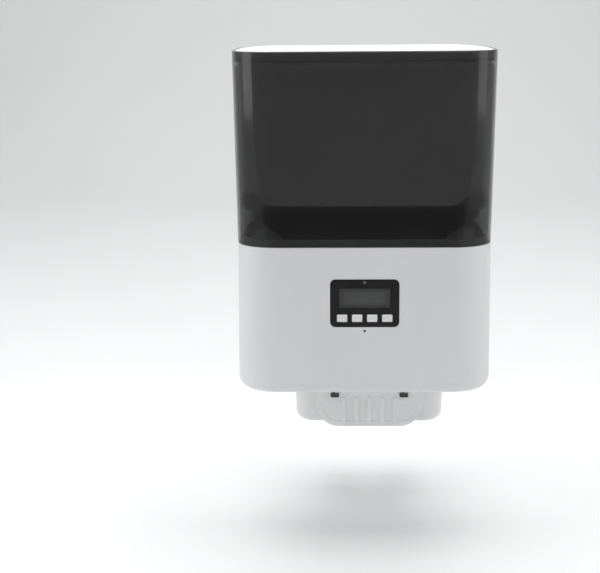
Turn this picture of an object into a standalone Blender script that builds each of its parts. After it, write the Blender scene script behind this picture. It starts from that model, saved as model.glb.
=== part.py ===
"""Automatic pet feeder that clamps to the wall of a wire crate and fills a bowl inside it.

Metres, +Z up. The front faces -Y. The origin is the centre of the flat rear wall of the base, which
bears on the crate wires, so everything inside the crate has a positive Y.
"""

import math

import bmesh
import bpy
from mathutils import Vector

# ---- driving sizes ---------------------------------------------------------------------------------
BASE_HEIGHT = 0.148
BASE_BOTTOM_WIDTH = 0.2535
SEAM_WIDTH = 0.252
DEPTH = 0.161
HOPPER_HEIGHT = 0.1885
HOPPER_TOP_WIDTH = 0.2587
CORNER_RADIUS = 0.040
CORNER_STEPS = 7
BOTTOM_FILLET = 0.012
WALL = 0.0025
HOPPER_WALL = 0.0024
GAP = 0.0003
SCREW_RADIUS = 0.0015
SCREW_HEAD_RADIUS = 0.0028
SCREW_HEAD_EDGE = 0.0004
SCREW_HEAD_HEIGHT = 0.0006
SCREW_RECESS = 0.0002
SCREW_SEAT = 0.0011
SCREW_BITE = 0.0050
SCREW_SPACING = 0.1350

# Flange and cover that close the underside of the base.
COVER_INSET = 0.0137
COVER_THICKNESS = 0.0022
LEDGE_INSET = 0.0220
LEDGE_THICKNESS = 0.0025

# Deck that carries the hopper and funnels the food down.
DECK_DROP = 0.0062
DECK_THICKNESS = 0.0025
DECK_LEDGE_WIDTH = 0.0035
NOZZLE_STEP = 0.0010
NOZZLE_HEIGHT = 0.0040
NOZZLE_RADIUS = 0.0030
LIP_INSET = 0.0055
LIP_THICKNESS = 0.0020
LIP_RISE = 0.0070
CATCH_SPACING = 0.204
CATCH_WIDTH = 0.010
CATCH_DEPTH = 0.004
CATCH_INSET = 0.00576
CATCH_RISE = 0.0165

# Sloped floor of the hopper.
SIDE_SLOPE = 0.858
FRONT_SLOPE = 1.330
REAR_SLOPE = 1.030
THROAT_HALF_WIDTH = 0.0800
THROAT_FRONT_INSET = 0.0310
THROAT_BACK_INSET = 0.0140
THROAT_RADIUS = 0.0100
NECK_TOP_RISE = 0.0050
NECK_BOTTOM_DROP = 0.0050

# Lid, with the ledge it rests on.
LID_LEDGE_DROP = 0.0110
LID_LEDGE_WIDTH = 0.0026
LID_LEDGE_THICKNESS = 0.0020
LID_SKIRT = 0.0020
LID_CROWN = 0.0025
LID_CROWN_REACH = 0.048
LID_CROWN_STEPS = 5
LID_EDGE = 0.0008
LID_THICKNESS = 0.0020
SEAL_THICKNESS = 0.0018
GASKET_HEIGHT = 0.0030

# Finger grip moulded into the rear wall of the hopper.
GRIP_WIDTH = 0.100
GRIP_HEIGHT = 0.0105
GRIP_DEPTH = 0.016
GRIP_DROP = 0.0220

# Control panel on the front.
PANEL_WIDTH = 0.0675
PANEL_HEIGHT = 0.0474
PANEL_RADIUS = 0.005
PANEL_THICKNESS = 0.0012
PANEL_LEDGE = 0.0018
PANEL_CENTRE_DROP = 0.0552
WINDOW_WIDTH = 0.049
WINDOW_HEIGHT = 0.0190
WINDOW_RISE = 0.0050
WINDOW_RADIUS = 0.0012
WINDOW_RECESS = 0.0002
DISPLAY_SIDE = 0.0020
DISPLAY_RISE = 0.0030
DISPLAY_THICKNESS = 0.0040
BUTTON_WIDTH = 0.0101
BUTTON_HEIGHT = 0.0073
BUTTON_PITCH = 0.01476
BUTTON_COUNT = 4
BUTTON_DROP = 0.0150
BUTTON_PROUD = 0.0012
BUTTON_TRAVEL = 0.0008
BUTTON_RADIUS = 0.0010
FLANGE_THICKNESS = 0.0010
FLANGE_SIDE = 0.0011
FLANGE_RISE = 0.0008
STEM_RADIUS = 0.0015
LIGHT_RISE = 0.0208
LIGHT_RADIUS = 0.0015
MICROPHONE_DROP = 0.0280
MICROPHONE_HOLE = 0.0009

# Metering drum.
ROTOR_RADIUS = 0.025
ROTOR_WIDTH = 0.080
ROTOR_HUB = 0.008
ROTOR_BLADE = 0.0024
ROTOR_BLADES = 6
ROTOR_Y = -0.040
ROTOR_Z = 0.0
DRUM_CLEARANCE = 0.001
DRUM_WALL = 0.002
DRUM_INLET = 0.040
DRUM_OUTLET = 0.032
DRUM_INLET_RISE = 0.007
DRUM_OUTLET_DROP = 0.003
AXLE_RADIUS = 0.003
BUSH_RADIUS = 0.005

# Gear train, module 1 mm.
MODULE = 0.001
DRIVEN_TEETH = 40
IDLER_TEETH = 24
PINION_TEETH = 12
GEAR_WIDTH = 0.005
GEAR_STANDOFF = 0.003
MESH_CLEARANCE = 0.0003
MOTOR_RADIUS = 0.012
MOTOR_LENGTH = 0.034
PIN_RADIUS = 0.002
PLATE_THICKNESS = 0.002
PLATE_MARGIN = 0.004
COLUMN_RADIUS = 0.003
COLUMN_CLEARANCE = 0.001
MOTOR_COLLAR = 0.009
MOTOR_STEP = 0.001
MOTOR_END_RADIUS = 0.005
MOTOR_END_LENGTH = 0.002
SHAFT_REACH = 0.006
SHAFT_SPACE = 0.001
AXLE_END = 0.002
BUSH_PROUD = 0.0006

# Chute and its spout.
SPOUT_WIDTH = 0.034
SPOUT_HEIGHT = 0.030
SPOUT_REACH = 0.038
SPOUT_FLOOR = -0.0660
CHUTE_WALL = 0.0018
CHUTE_SLOPE = 0.570
CHUTE_COLLAR = 0.002
CHUTE_RADIUS = 0.003

# Batteries.
CELL_RADIUS = 0.0171
CELL_LENGTH = 0.0610
CELL_COUNT = 3
CELL_SPACE = 0.0008
CELL_MARGIN = 0.0010
CELL_LIFT = 0.0012
CELL_EDGE = 0.0010
CELL_NUB_RADIUS = 0.0048
CELL_NUB = 0.0035
BATTERY_BOX_WALL = 0.002
BATTERY_BOX_RADIUS = 0.003
DOOR_INSET = 0.0015
DOOR_RADIUS = 0.0030
DOOR_GRIP_INSET = 0.0088
DOOR_GRIP_WIDTH = 0.0220
DOOR_GRIP_HEIGHT = 0.0060
DOOR_GRIP_DEPTH = 0.0009
CONTACT_SPACE = 0.0025
CONTACT_THICKNESS = 0.0005
CONTACT_HEIGHT = 0.0250
CONTACT_INSET = 0.0030

# Clamp to the crate.
WIRE_SPACE = 0.0055
CLAMP_THICKNESS = 0.003
CLAMP_BOLT_SPACING = 0.120
CLAMP_BOLT_RADIUS = 0.003
CLAMP_BOLT_LENGTH = 0.024
CLAMP_SHIFT = 0.0085
CLAMP_ADJUST = 0.0145
CLAMP_BAR_HEIGHT = 0.034
CLAMP_BAR_WIDTH = 0.176
NUT_RADIUS = 0.0065
NUT_LENGTH = 0.008
NUT_WING = 0.014
NUT_WING_THICKNESS = 0.0040
NUT_WING_START = 0.0020
NUT_WING_END = 0.0110
BOLT_HEAD = 0.0040

# Bowl and the ribbed tongue that carries it.
TONGUE_WIDTH = 0.1180
TONGUE_RADIUS = 0.0255
TONGUE_STEPS = 8
TONGUE_DROP = 0.1573
SHELF_THICKNESS = 0.0018
SHELF_REACH = 0.086
SHELF_LIP = 0.0012
SHELF_RADIUS = 0.0060
RAIL_WIDTH = 0.0020
RIB_COUNT = 5
RIB_WIDTH = 0.0046
RIB_PITCH = 0.0143
RIB_HEIGHT = 0.0298
RIB_PROUD = 0.0016
RIB_LIFT = 0.0035
RIB_EDGE = 0.0010
BEAD_INSET = 0.0040
BEAD_WIDTH = 0.0014
BEAD_PROUD = 0.0010
SPOUT_MARGIN = 0.0040
CLIP_CLEARANCE = 0.0027
CLIP_DROP = 0.1205
CLIP_WIDTH = 0.0094
CLIP_HEIGHT = 0.0045
CLIP_GROOVE_SHIFT = 0.002
CLIP_RADIUS = 0.0012
CLIP_WALL = 0.0012
WIRE_RADIUS = 0.0016
BOWL_WIDTH = 0.1685
BOWL_DEPTH = 0.110
BOWL_HEIGHT = 0.0538
BOWL_RADIUS = 0.022
BOWL_WALL = 0.0024
BOWL_DRAFT = 0.003
BOWL_FILLET = 0.009
BOWL_STEPS = 5
BOWL_FOOT_RADIUS = 0.0040

# Other parts.
SPEAKER_RADIUS = 0.020
SPEAKER_X = -0.084
SPEAKER_Y = -0.056
SPEAKER_HEIGHT = 0.012
SPEAKER_RIM = 0.0020
SPEAKER_CONE = 0.0072
SPEAKER_MAGNET = 0.0110
GRILLE_SLOTS = 5
GRILLE_PITCH = 0.005
GRILLE_WIDTH = 0.002
GRILLE_LENGTH = 0.026
JACK_Y = -0.056
JACK_Z = -0.050
JACK_RADIUS = 0.0055
JACK_BORE = 0.0031
JACK_LENGTH = 0.012
JACK_SHOULDER = 0.001
JACK_END = 0.002
BOARD_WIDTH = 0.078
BOARD_HEIGHT = 0.058
BOARD_THICKNESS = 0.0016
BOARD_SETBACK = 0.009
BOARD_RADIUS = 0.002
POST_RADIUS = 0.0022
POST_INSET = 0.0030
SWITCH_SIDE = 0.0060
SWITCH_HEIGHT = 0.0035
CHIP_SIDE = 0.0160
CHIP_HEIGHT = 0.0022
MICROPHONE_RADIUS = 0.0030
MICROPHONE_HEIGHT = 0.0025

# ---- levels and places that follow from them ---------------------------------------------------------
BASE_BOTTOM = -BASE_HEIGHT / 2
SEAM = BASE_HEIGHT / 2
HOPPER_TOP = SEAM + GAP + HOPPER_HEIGHT
FRONT = -DEPTH
DECK_TOP = SEAM - DECK_DROP
NECK_TOP = SEAM + NECK_TOP_RISE
NECK_BOTTOM = SEAM - NECK_BOTTOM_DROP
PANEL_Z = SEAM - PANEL_CENTRE_DROP
BUTTON_Z = PANEL_Z - BUTTON_DROP
WINDOW_Z = PANEL_Z + WINDOW_RISE
LIGHT_Z = PANEL_Z + LIGHT_RISE
MICROPHONE_Z = PANEL_Z - MICROPHONE_DROP
PANEL_BACK = FRONT + PANEL_THICKNESS
DRUM_RADIUS = ROTOR_RADIUS + DRUM_CLEARANCE
DRUM_OUTER = DRUM_RADIUS + DRUM_WALL
DRUM_HALF = ROTOR_WIDTH / 2 + DRUM_CLEARANCE / 2
DRUM_SIDE = DRUM_HALF + DRUM_WALL
DRUM_TOP = ROTOR_Z + DRUM_OUTER + DRUM_INLET_RISE
DRUM_BOTTOM = ROTOR_Z - DRUM_OUTER - DRUM_OUTLET_DROP
END_COVER_X = DRUM_HALF + GAP
GEAR_X = END_COVER_X + PLATE_THICKNESS + GEAR_STANDOFF
GEAR_END_X = GEAR_X + GEAR_WIDTH
GEAR_PLATE_X = GEAR_END_X + GEAR_STANDOFF
MOTOR_X = GEAR_PLATE_X + PLATE_THICKNESS + GAP
IDLER_Y = ROTOR_Y - MODULE * (DRIVEN_TEETH + IDLER_TEETH) / 2 - MESH_CLEARANCE
PINION_Y = IDLER_Y - MODULE * (IDLER_TEETH + PINION_TEETH) / 2 - MESH_CLEARANCE
CLAMP_FRONT = WIRE_SPACE
CLAMP_BACK = CLAMP_FRONT + CLAMP_THICKNESS
TONGUE_BOTTOM = -TONGUE_DROP
TONGUE_FOOT = TONGUE_WIDTH / 2 - TONGUE_RADIUS
CLIP_REACH = RIB_PITCH * (RIB_COUNT - 1) / 2 + RIB_WIDTH / 2 + CLIP_CLEARANCE + CLIP_WIDTH / 2
SHELF_TOP = TONGUE_BOTTOM + SHELF_THICKNESS
BOWL_BOTTOM = SHELF_TOP + SHELF_LIP + GAP
BOWL_FRONT = CLAMP_BACK + GAP
BOWL_TOP = BOWL_BOTTOM + BOWL_HEIGHT
CELL_PITCH = 2 * CELL_RADIUS + CELL_SPACE
BOX_HALF_WIDTH = (CELL_PITCH * (CELL_COUNT - 1) + 2 * CELL_RADIUS) / 2 + CELL_MARGIN
BOX_HALF_DEPTH = CELL_LENGTH / 2 + CONTACT_SPACE
BATTERY_BOX_Y = FRONT + LEDGE_INSET + GAP + BATTERY_BOX_WALL + BOX_HALF_DEPTH
COVER_TOP = BASE_BOTTOM + COVER_THICKNESS
CELL_Z = COVER_TOP + CELL_LIFT + CELL_RADIUS


def base_half_width(z):
    """Half the width of the base at height z: its sides lean in towards the seam."""
    share = (z - BASE_BOTTOM) / BASE_HEIGHT
    return (BASE_BOTTOM_WIDTH + (SEAM_WIDTH - BASE_BOTTOM_WIDTH) * share) / 2


def hopper_half_width(z):
    """Half the width of the hopper at height z: its sides lean out towards the top."""
    share = (z - SEAM) / HOPPER_HEIGHT
    return (SEAM_WIDTH + (HOPPER_TOP_WIDTH - SEAM_WIDTH) * share) / 2


# ---- shape tools ---------------------------------------------------------------------------------------
def new_material(name, colour, roughness, metallic=0.0, alpha=1.0):
    material = bpy.data.materials.new(name)
    material.use_nodes = True
    shader = material.node_tree.nodes["Principled BSDF"]
    shader.inputs["Base Color"].default_value = (*colour, 1.0)
    shader.inputs["Roughness"].default_value = roughness
    shader.inputs["Metallic"].default_value = metallic
    shader.inputs["Alpha"].default_value = alpha
    material.diffuse_color = (*colour, alpha)
    return material


def link(name, bm, material, smooth_angle=40):
    """Closes a bmesh into a named object with outward faces."""
    bmesh.ops.recalc_face_normals(bm, faces=bm.faces)
    mesh = bpy.data.meshes.new(name)
    bm.to_mesh(mesh)
    bm.free()
    if material:
        mesh.materials.append(material)
    mesh.shade_smooth()
    mesh.set_sharp_from_angle(angle=math.radians(smooth_angle))
    obj = bpy.data.objects.new(name, mesh)
    bpy.context.scene.collection.objects.link(obj)
    return obj


def set_origin(obj, point):
    """Moves the origin of an object to a point and leaves its shape where it is."""
    offset = Vector(point)
    for vertex in obj.data.vertices:
        vertex.co -= offset
    obj.location = offset
    return obj


def rings_object(name, rings, material=None, looped=False):
    """Joins rings of equal length with bands of quads. Looped rings make a tube, others get two caps."""
    bm = bmesh.new()
    rows = [[bm.verts.new(point) for point in ring] for ring in rings]
    pairs = list(zip(rows, rows[1:]))
    if looped:
        pairs.append((rows[-1], rows[0]))
    for low, high in pairs:
        for i, corner in enumerate(low):
            j = (i + 1) % len(low)
            bm.faces.new((corner, low[j], high[j], high[i]))
    if not looped:
        bm.faces.new(rows[0])
        bm.faces.new(rows[-1])
    return link(name, bm, material)


def rounded_outline(u_low, u_high, v_low, v_high, radius, steps=CORNER_STEPS):
    """Counter-clockwise points of a rectangle with rounded corners."""
    radius = max(radius, 0.0002)
    corners = (
        (u_high - radius, v_high - radius, 0),
        (u_low + radius, v_high - radius, 1),
        (u_low + radius, v_low + radius, 2),
        (u_high - radius, v_low + radius, 3),
    )
    points = []
    for u, v, quarter in corners:
        for step in range(steps + 1):
            angle = math.pi / 2 * (quarter + step / steps)
            points.append((u + radius * math.cos(angle), v + radius * math.sin(angle)))
    return points


def plan_ring(half_width, z, inset=0.0, front=FRONT, back=0.0, radius=CORNER_RADIUS, shift=0.0,
              steps=CORNER_STEPS):
    """A rounded rectangle at height z, drawn in by inset on every side."""
    outline = rounded_outline(shift - half_width + inset, shift + half_width - inset,
                              front + inset, back - inset, radius - inset, steps)
    return [(x, y, z) for x, y in outline]


def base_ring(z, inset):
    return plan_ring(base_half_width(z), z, inset)


def hopper_ring(z, inset):
    return plan_ring(hopper_half_width(z), z, inset)


def placed(axis, u, v, w):
    """The point at w along an axis, with u and v across it, in X, Y, Z order of the other two axes."""
    return {"X": (w, u, v), "Y": (u, w, v), "Z": (u, v, w)}[axis]


def prism(name, outline, axis, start, end, material=None):
    """An outline pushed along an axis from start to end."""
    rings = [[placed(axis, u, v, w) for u, v in outline] for w in (start, end)]
    return rings_object(name, rings, material)


def tube(name, outer, inner, axis, start, end, material=None):
    """A ring-shaped wall between two outlines with the same number of points."""
    ends = ((outer, start), (outer, end), (inner, end), (inner, start))
    rings = [[placed(axis, u, v, w) for u, v in outline] for outline, w in ends]
    return rings_object(name, rings, material, looped=True)


def circle(u, v, radius, segments=24):
    step = 2 * math.pi / segments
    return [(u + radius * math.cos(step * i), v + radius * math.sin(step * i)) for i in range(segments)]


def box(name, low, high, material=None):
    outline = [(low[0], low[1]), (high[0], low[1]), (high[0], high[1]), (low[0], high[1])]
    return prism(name, outline, "Z", low[2], high[2], material)


def plate(name, u, v, width, height, radius, axis, start, end, material=None, steps=3):
    """A rounded plate centred on u, v."""
    outline = rounded_outline(u - width / 2, u + width / 2, v - height / 2, v + height / 2, radius, steps)
    return prism(name, outline, axis, start, end, material)


def turned(name, axis, u, v, profile, material=None, segments=24):
    """A solid of revolution from (distance along the axis, radius) pairs."""
    rings = [[placed(axis, a, b, along) for a, b in circle(u, v, radius, segments)]
             for along, radius in profile]
    return rings_object(name, rings, material)


def helper(obj):
    """Marks an object as a cutter or a joined shape, which is not a part by itself."""
    obj.hide_render = True
    obj.display_type = "WIRE"
    return obj


def combine(obj, operation, others):
    for other in others:
        helper(other)
        modifier = obj.modifiers.new(f"{operation.lower()}_{other.name}", "BOOLEAN")
        modifier.operation = operation
        modifier.object = other
    return obj


def cut(obj, *cutters):
    return combine(obj, "DIFFERENCE", cutters)


def fuse(obj, *shapes):
    return combine(obj, "UNION", shapes)


def gear_outline(u, v, teeth, turn=0.0):
    """Straight-flanked teeth: a root flat, a rise, a tip flat and a fall for each one."""
    pitch_radius = MODULE * teeth / 2
    root = pitch_radius - 1.2 * MODULE
    tip = pitch_radius + 0.85 * MODULE
    marks = ((-0.33, root), (-0.13, tip), (0.13, tip), (0.33, root))
    points = []
    for tooth in range(teeth):
        for share, radius in marks:
            angle = turn + 2 * math.pi * (tooth + share) / teeth
            points.append((u + radius * math.cos(angle), v + radius * math.sin(angle)))
    return points


# ---- hopper and lid ------------------------------------------------------------------------------------
def throat_ring(z, grow):
    """The rectangular neck at the bottom of the hopper's sloped floor, grown outwards by its wall."""
    return plan_ring(THROAT_HALF_WIDTH, z, -grow, FRONT + THROAT_FRONT_INSET, -THROAT_BACK_INSET,
                     THROAT_RADIUS)


def floor_height(x, y):
    """Height of the sloped floor at a place on the wall: the highest of its side, front and rear slopes."""
    side = SIDE_SLOPE * (abs(x) - THROAT_HALF_WIDTH)
    front = FRONT_SLOPE * (FRONT + THROAT_FRONT_INSET - y)
    rear = REAR_SLOPE * (y + THROAT_BACK_INSET)
    return NECK_TOP + max(side, front, rear)


def floor_ring(drop):
    """The line where the sloped floor, or its underside, meets the inside of the wall."""
    ring = []
    for index, (x, y, _) in enumerate(hopper_ring(NECK_TOP, HOPPER_WALL)):
        ring.append(hopper_ring(floor_height(x, y) - drop, HOPPER_WALL)[index])
    return ring


def make_hopper(material):
    ledge = HOPPER_TOP - LID_LEDGE_DROP
    wide = HOPPER_WALL + LID_LEDGE_WIDTH
    rings = [
        hopper_ring(SEAM + GAP, 0),
        hopper_ring(HOPPER_TOP, 0),
        hopper_ring(HOPPER_TOP, HOPPER_WALL),
        hopper_ring(ledge, HOPPER_WALL),
        hopper_ring(ledge, wide),
        hopper_ring(ledge - LID_LEDGE_THICKNESS, wide),
        hopper_ring(ledge - LID_LEDGE_THICKNESS - LID_LEDGE_WIDTH, HOPPER_WALL),
        floor_ring(0),
        throat_ring(NECK_TOP, 0),
        throat_ring(NECK_BOTTOM, 0),
        throat_ring(NECK_BOTTOM, HOPPER_WALL),
        throat_ring(NECK_TOP - HOPPER_WALL / 2, HOPPER_WALL),
        floor_ring(HOPPER_WALL),
        hopper_ring(SEAM + GAP, HOPPER_WALL),
    ]
    hopper = rings_object("hopper", rings, material, looped=True)
    grip_z = HOPPER_TOP - GRIP_DROP
    outside = plate("grip_shell", 0, grip_z, GRIP_WIDTH + 2 * HOPPER_WALL, GRIP_HEIGHT + 2 * HOPPER_WALL,
                    GRIP_HEIGHT / 3 + HOPPER_WALL, "Y", -GRIP_DEPTH - HOPPER_WALL, -HOPPER_WALL / 2)
    inside = plate("grip_hollow", 0, grip_z, GRIP_WIDTH, GRIP_HEIGHT, GRIP_HEIGHT / 3, "Y",
                   -GRIP_DEPTH, WALL)
    fuse(hopper, outside)
    return cut(hopper, inside)


def make_lid(material):
    skirt_bottom = HOPPER_TOP - LID_LEDGE_DROP + SEAL_THICKNESS + 2 * GAP
    outer = HOPPER_WALL + GAP
    inner = outer + LID_SKIRT
    ceiling = HOPPER_TOP - LID_THICKNESS
    rings = [
        hopper_ring(ceiling, inner),
        hopper_ring(skirt_bottom, inner),
        hopper_ring(skirt_bottom, outer),
        hopper_ring(HOPPER_TOP - LID_EDGE, outer),
        hopper_ring(HOPPER_TOP, outer + LID_EDGE),
    ]
    for step in range(1, LID_CROWN_STEPS + 1):
        share = step / LID_CROWN_STEPS
        inset = outer + LID_EDGE + share * LID_CROWN_REACH
        rings.append(hopper_ring(HOPPER_TOP + LID_CROWN * math.sin(share * math.pi / 2), inset))
    return rings_object("lid", rings, material)


def make_lid_seal(material):
    low = HOPPER_TOP - LID_LEDGE_DROP + GAP
    outer = HOPPER_WALL + GAP
    inner = outer + LID_SKIRT
    rings = [hopper_ring(low, outer), hopper_ring(low + SEAL_THICKNESS, outer),
             hopper_ring(low + SEAL_THICKNESS, inner), hopper_ring(low, inner)]
    return rings_object("lid_seal", rings, material, looped=True)


def make_hopper_gasket(material):
    outer = HOPPER_WALL + GAP
    inner = LIP_INSET - GAP
    low = SEAM + GAP
    high = low + GASKET_HEIGHT
    rings = [plan_ring(SEAM_WIDTH / 2, low, outer), plan_ring(SEAM_WIDTH / 2, high, outer),
             plan_ring(SEAM_WIDTH / 2, high, inner), plan_ring(SEAM_WIDTH / 2, low, inner)]
    return rings_object("hopper_gasket", rings, material, looped=True)


# ---- base ------------------------------------------------------------------------------------------------
def fillet_rings(radius, inset, steps, downwards):
    """Rings round the lower edge of the base for an arc of this radius."""
    centre_z = BASE_BOTTOM + BOTTOM_FILLET
    shares = [step / steps for step in range(steps + 1)]
    if downwards:
        shares.reverse()
    rings = []
    for share in shares:
        angle = math.pi / 2 * share
        z = centre_z - radius * math.cos(angle)
        rings.append(base_ring(z, inset + radius * (1 - math.sin(angle))))
    return rings


def make_base_housing(material):
    deck_ledge = DECK_TOP - DECK_THICKNESS - GAP
    ledge_low = COVER_TOP + GAP
    ledge_high = ledge_low + LEDGE_THICKNESS
    rings = fillet_rings(BOTTOM_FILLET, 0, 5, downwards=False)
    rings += [
        base_ring(SEAM, 0),
        base_ring(SEAM, WALL),
        base_ring(deck_ledge, WALL),
        base_ring(deck_ledge, WALL + DECK_LEDGE_WIDTH),
        base_ring(deck_ledge - WALL, WALL + DECK_LEDGE_WIDTH),
        base_ring(deck_ledge - WALL - DECK_LEDGE_WIDTH, WALL),
    ]
    rings += fillet_rings(BOTTOM_FILLET - WALL, WALL, 4, downwards=True)[:-2]
    rings += [
        base_ring(ledge_high, BOTTOM_FILLET - WALL / 2),
        base_ring(ledge_high, LEDGE_INSET),
        base_ring(ledge_low, LEDGE_INSET),
        base_ring(ledge_low, COVER_INSET),
        base_ring(BASE_BOTTOM, COVER_INSET),
    ]
    housing = rings_object("base_housing", rings, material, looped=True)
    fuse(housing, *board_posts())
    pocket = plate("panel_pocket", 0, PANEL_Z, PANEL_WIDTH + 2 * GAP, PANEL_HEIGHT + 2 * GAP,
                   PANEL_RADIUS + GAP, "Y", FRONT - WALL, PANEL_BACK + GAP)
    opening = plate("panel_opening", 0, PANEL_Z, PANEL_WIDTH - 2 * PANEL_LEDGE,
                    PANEL_HEIGHT - 2 * PANEL_LEDGE, PANEL_RADIUS - PANEL_LEDGE, "Y", FRONT - WALL,
                    FRONT + 2 * WALL)
    pinhole = prism("microphone_hole", circle(0, MICROPHONE_Z, MICROPHONE_HOLE, 12), "Y", FRONT - WALL,
                    FRONT + 2 * WALL)
    light = plate("light_notch", 0, LIGHT_Z, 2 * LIGHT_RADIUS + 4 * GAP, 2 * LIGHT_RADIUS + 4 * GAP,
                  LIGHT_RADIUS, "Y", FRONT - 2 * WALL, FRONT + 3 * WALL)
    spout = box("spout_window", (-SPOUT_WIDTH / 2 - GAP, -2 * WALL, spout_levels(0)[0] - GAP),
                (SPOUT_WIDTH / 2 + GAP, WALL, spout_levels(-WALL)[1] + GAP))
    jack = prism("jack_hole", circle(JACK_Y, JACK_Z, JACK_RADIUS - JACK_SHOULDER, 20), "X",
                 BASE_BOTTOM_WIDTH / 2 - 3 * WALL, BASE_BOTTOM_WIDTH / 2 + WALL)
    bolts = [prism(f"bolt_hole_{side}", circle(x, 0, CLAMP_BOLT_RADIUS + GAP, 16), "Y", -2 * WALL, WALL)
             for side, x in bolt_places()]
    return cut(housing, pocket, opening, light, pinhole, spout, jack, *bolts,
               *cover_screw_holes(ledge_low))


def board_posts():
    """Posts behind the front wall that hold the control board."""
    posts = []
    for index, (x, z) in enumerate(board_corners()):
        posts.append(prism(f"board_post_{index}", circle(x, z, POST_RADIUS, 12), "Y", FRONT + WALL / 2,
                           FRONT + BOARD_SETBACK - GAP))
    return posts


def board_corners():
    """Centres of the control board's fixing posts, in X and Z."""
    half_width = BOARD_WIDTH / 2 - POST_INSET
    half_height = BOARD_HEIGHT / 2 - POST_INSET
    return [(x, PANEL_Z + z) for x in (-half_width, half_width) for z in (-half_height, half_height)]


def bolt_places():
    return (("left", -CLAMP_BOLT_SPACING / 2), ("right", CLAMP_BOLT_SPACING / 2))


def cover_screw_places():
    """Six screws round the edge of the bottom cover."""
    half_width = base_half_width(BASE_BOTTOM) - (COVER_INSET + LEDGE_INSET) / 2
    front = FRONT + (COVER_INSET + LEDGE_INSET) / 2
    back = -(COVER_INSET + LEDGE_INSET) / 2
    middle = -DEPTH / 2
    reach = SCREW_SPACING / 2
    return [(-reach, front), (reach, front), (-half_width, middle), (half_width, middle), (-reach, back),
            (reach, back)]


def cover_screw_holes(ledge_low):
    holes = []
    for index, (x, y) in enumerate(cover_screw_places()):
        holes.append(prism(f"ledge_hole_{index}", circle(x, y, SCREW_RADIUS + GAP / 2, 12), "Z",
                           ledge_low - WALL / 4, ledge_low + 2 * LEDGE_THICKNESS))
    return holes


def make_bottom_cover(material):
    low, high = BASE_BOTTOM, COVER_TOP
    inset = COVER_INSET + GAP
    rings = [base_ring(low, inset), base_ring(high, inset)]
    cover = rings_object("base_bottom_cover", rings, material)
    door = plate("door_opening", 0, BATTERY_BOX_Y, 2 * (BOX_HALF_WIDTH - DOOR_INSET),
                 2 * (BOX_HALF_DEPTH - DOOR_INSET), DOOR_RADIUS, "Z", low - WALL, high + WALL)
    holes = [prism(f"cover_hole_{index}", circle(x, y, SCREW_RADIUS + GAP, 12), "Z", low - WALL,
                   high + WALL) for index, (x, y) in enumerate(cover_screw_places())]
    sinks = [prism(f"cover_sink_{index}", circle(x, y, SCREW_HEAD_RADIUS + GAP, 16), "Z", low - WALL,
                   low + SCREW_SEAT) for index, (x, y) in enumerate(cover_screw_places())]
    slots = []
    for index in range(GRILLE_SLOTS):
        y = SPEAKER_Y + GRILLE_PITCH * (index - (GRILLE_SLOTS - 1) / 2)
        slots.append(plate(f"grille_slot_{index}", SPEAKER_X, y, GRILLE_LENGTH, GRILLE_WIDTH,
                           GRILLE_WIDTH / 2.1, "Z", low - WALL, high + WALL))
    return cut(cover, door, *holes, *sinks, *slots)


def make_cover_screws(material):
    """A pan head below the cover and a shank into the ledge."""
    for index, (x, y) in enumerate(cover_screw_places()):
        low = BASE_BOTTOM + SCREW_RECESS
        high = low + SCREW_HEAD_HEIGHT
        profile = [(low, SCREW_HEAD_RADIUS - SCREW_HEAD_EDGE), (low + SCREW_HEAD_EDGE, SCREW_HEAD_RADIUS),
                   (high, SCREW_HEAD_RADIUS), (high, SCREW_RADIUS),
                   (COVER_TOP + SCREW_BITE, SCREW_RADIUS)]
        turned(f"cover_screw_{index + 1}", "Z", x, y, profile, material, 12)


def make_battery_door(material):
    width = 2 * (BOX_HALF_WIDTH - DOOR_INSET - GAP)
    depth = 2 * (BOX_HALF_DEPTH - DOOR_INSET - GAP)
    door = plate("battery_door", 0, BATTERY_BOX_Y, width, depth, DOOR_RADIUS - GAP, "Z", BASE_BOTTOM,
                 COVER_TOP, material)
    grip = plate("door_grip", 0, BATTERY_BOX_Y + depth / 2 - DOOR_GRIP_INSET, DOOR_GRIP_WIDTH,
                 DOOR_GRIP_HEIGHT, DOOR_GRIP_HEIGHT / 2.1, "Z", BASE_BOTTOM - WALL,
                 BASE_BOTTOM + DOOR_GRIP_DEPTH)
    return cut(door, grip)


def corner_retreat(x, inset):
    """How far back from the front a point at x lies that is inset from the wall round its corner."""
    over = max(x - SEAM_WIDTH / 2 + CORNER_RADIUS, 0)
    return CORNER_RADIUS - math.sqrt((CORNER_RADIUS - inset) ** 2 - over ** 2)


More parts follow.
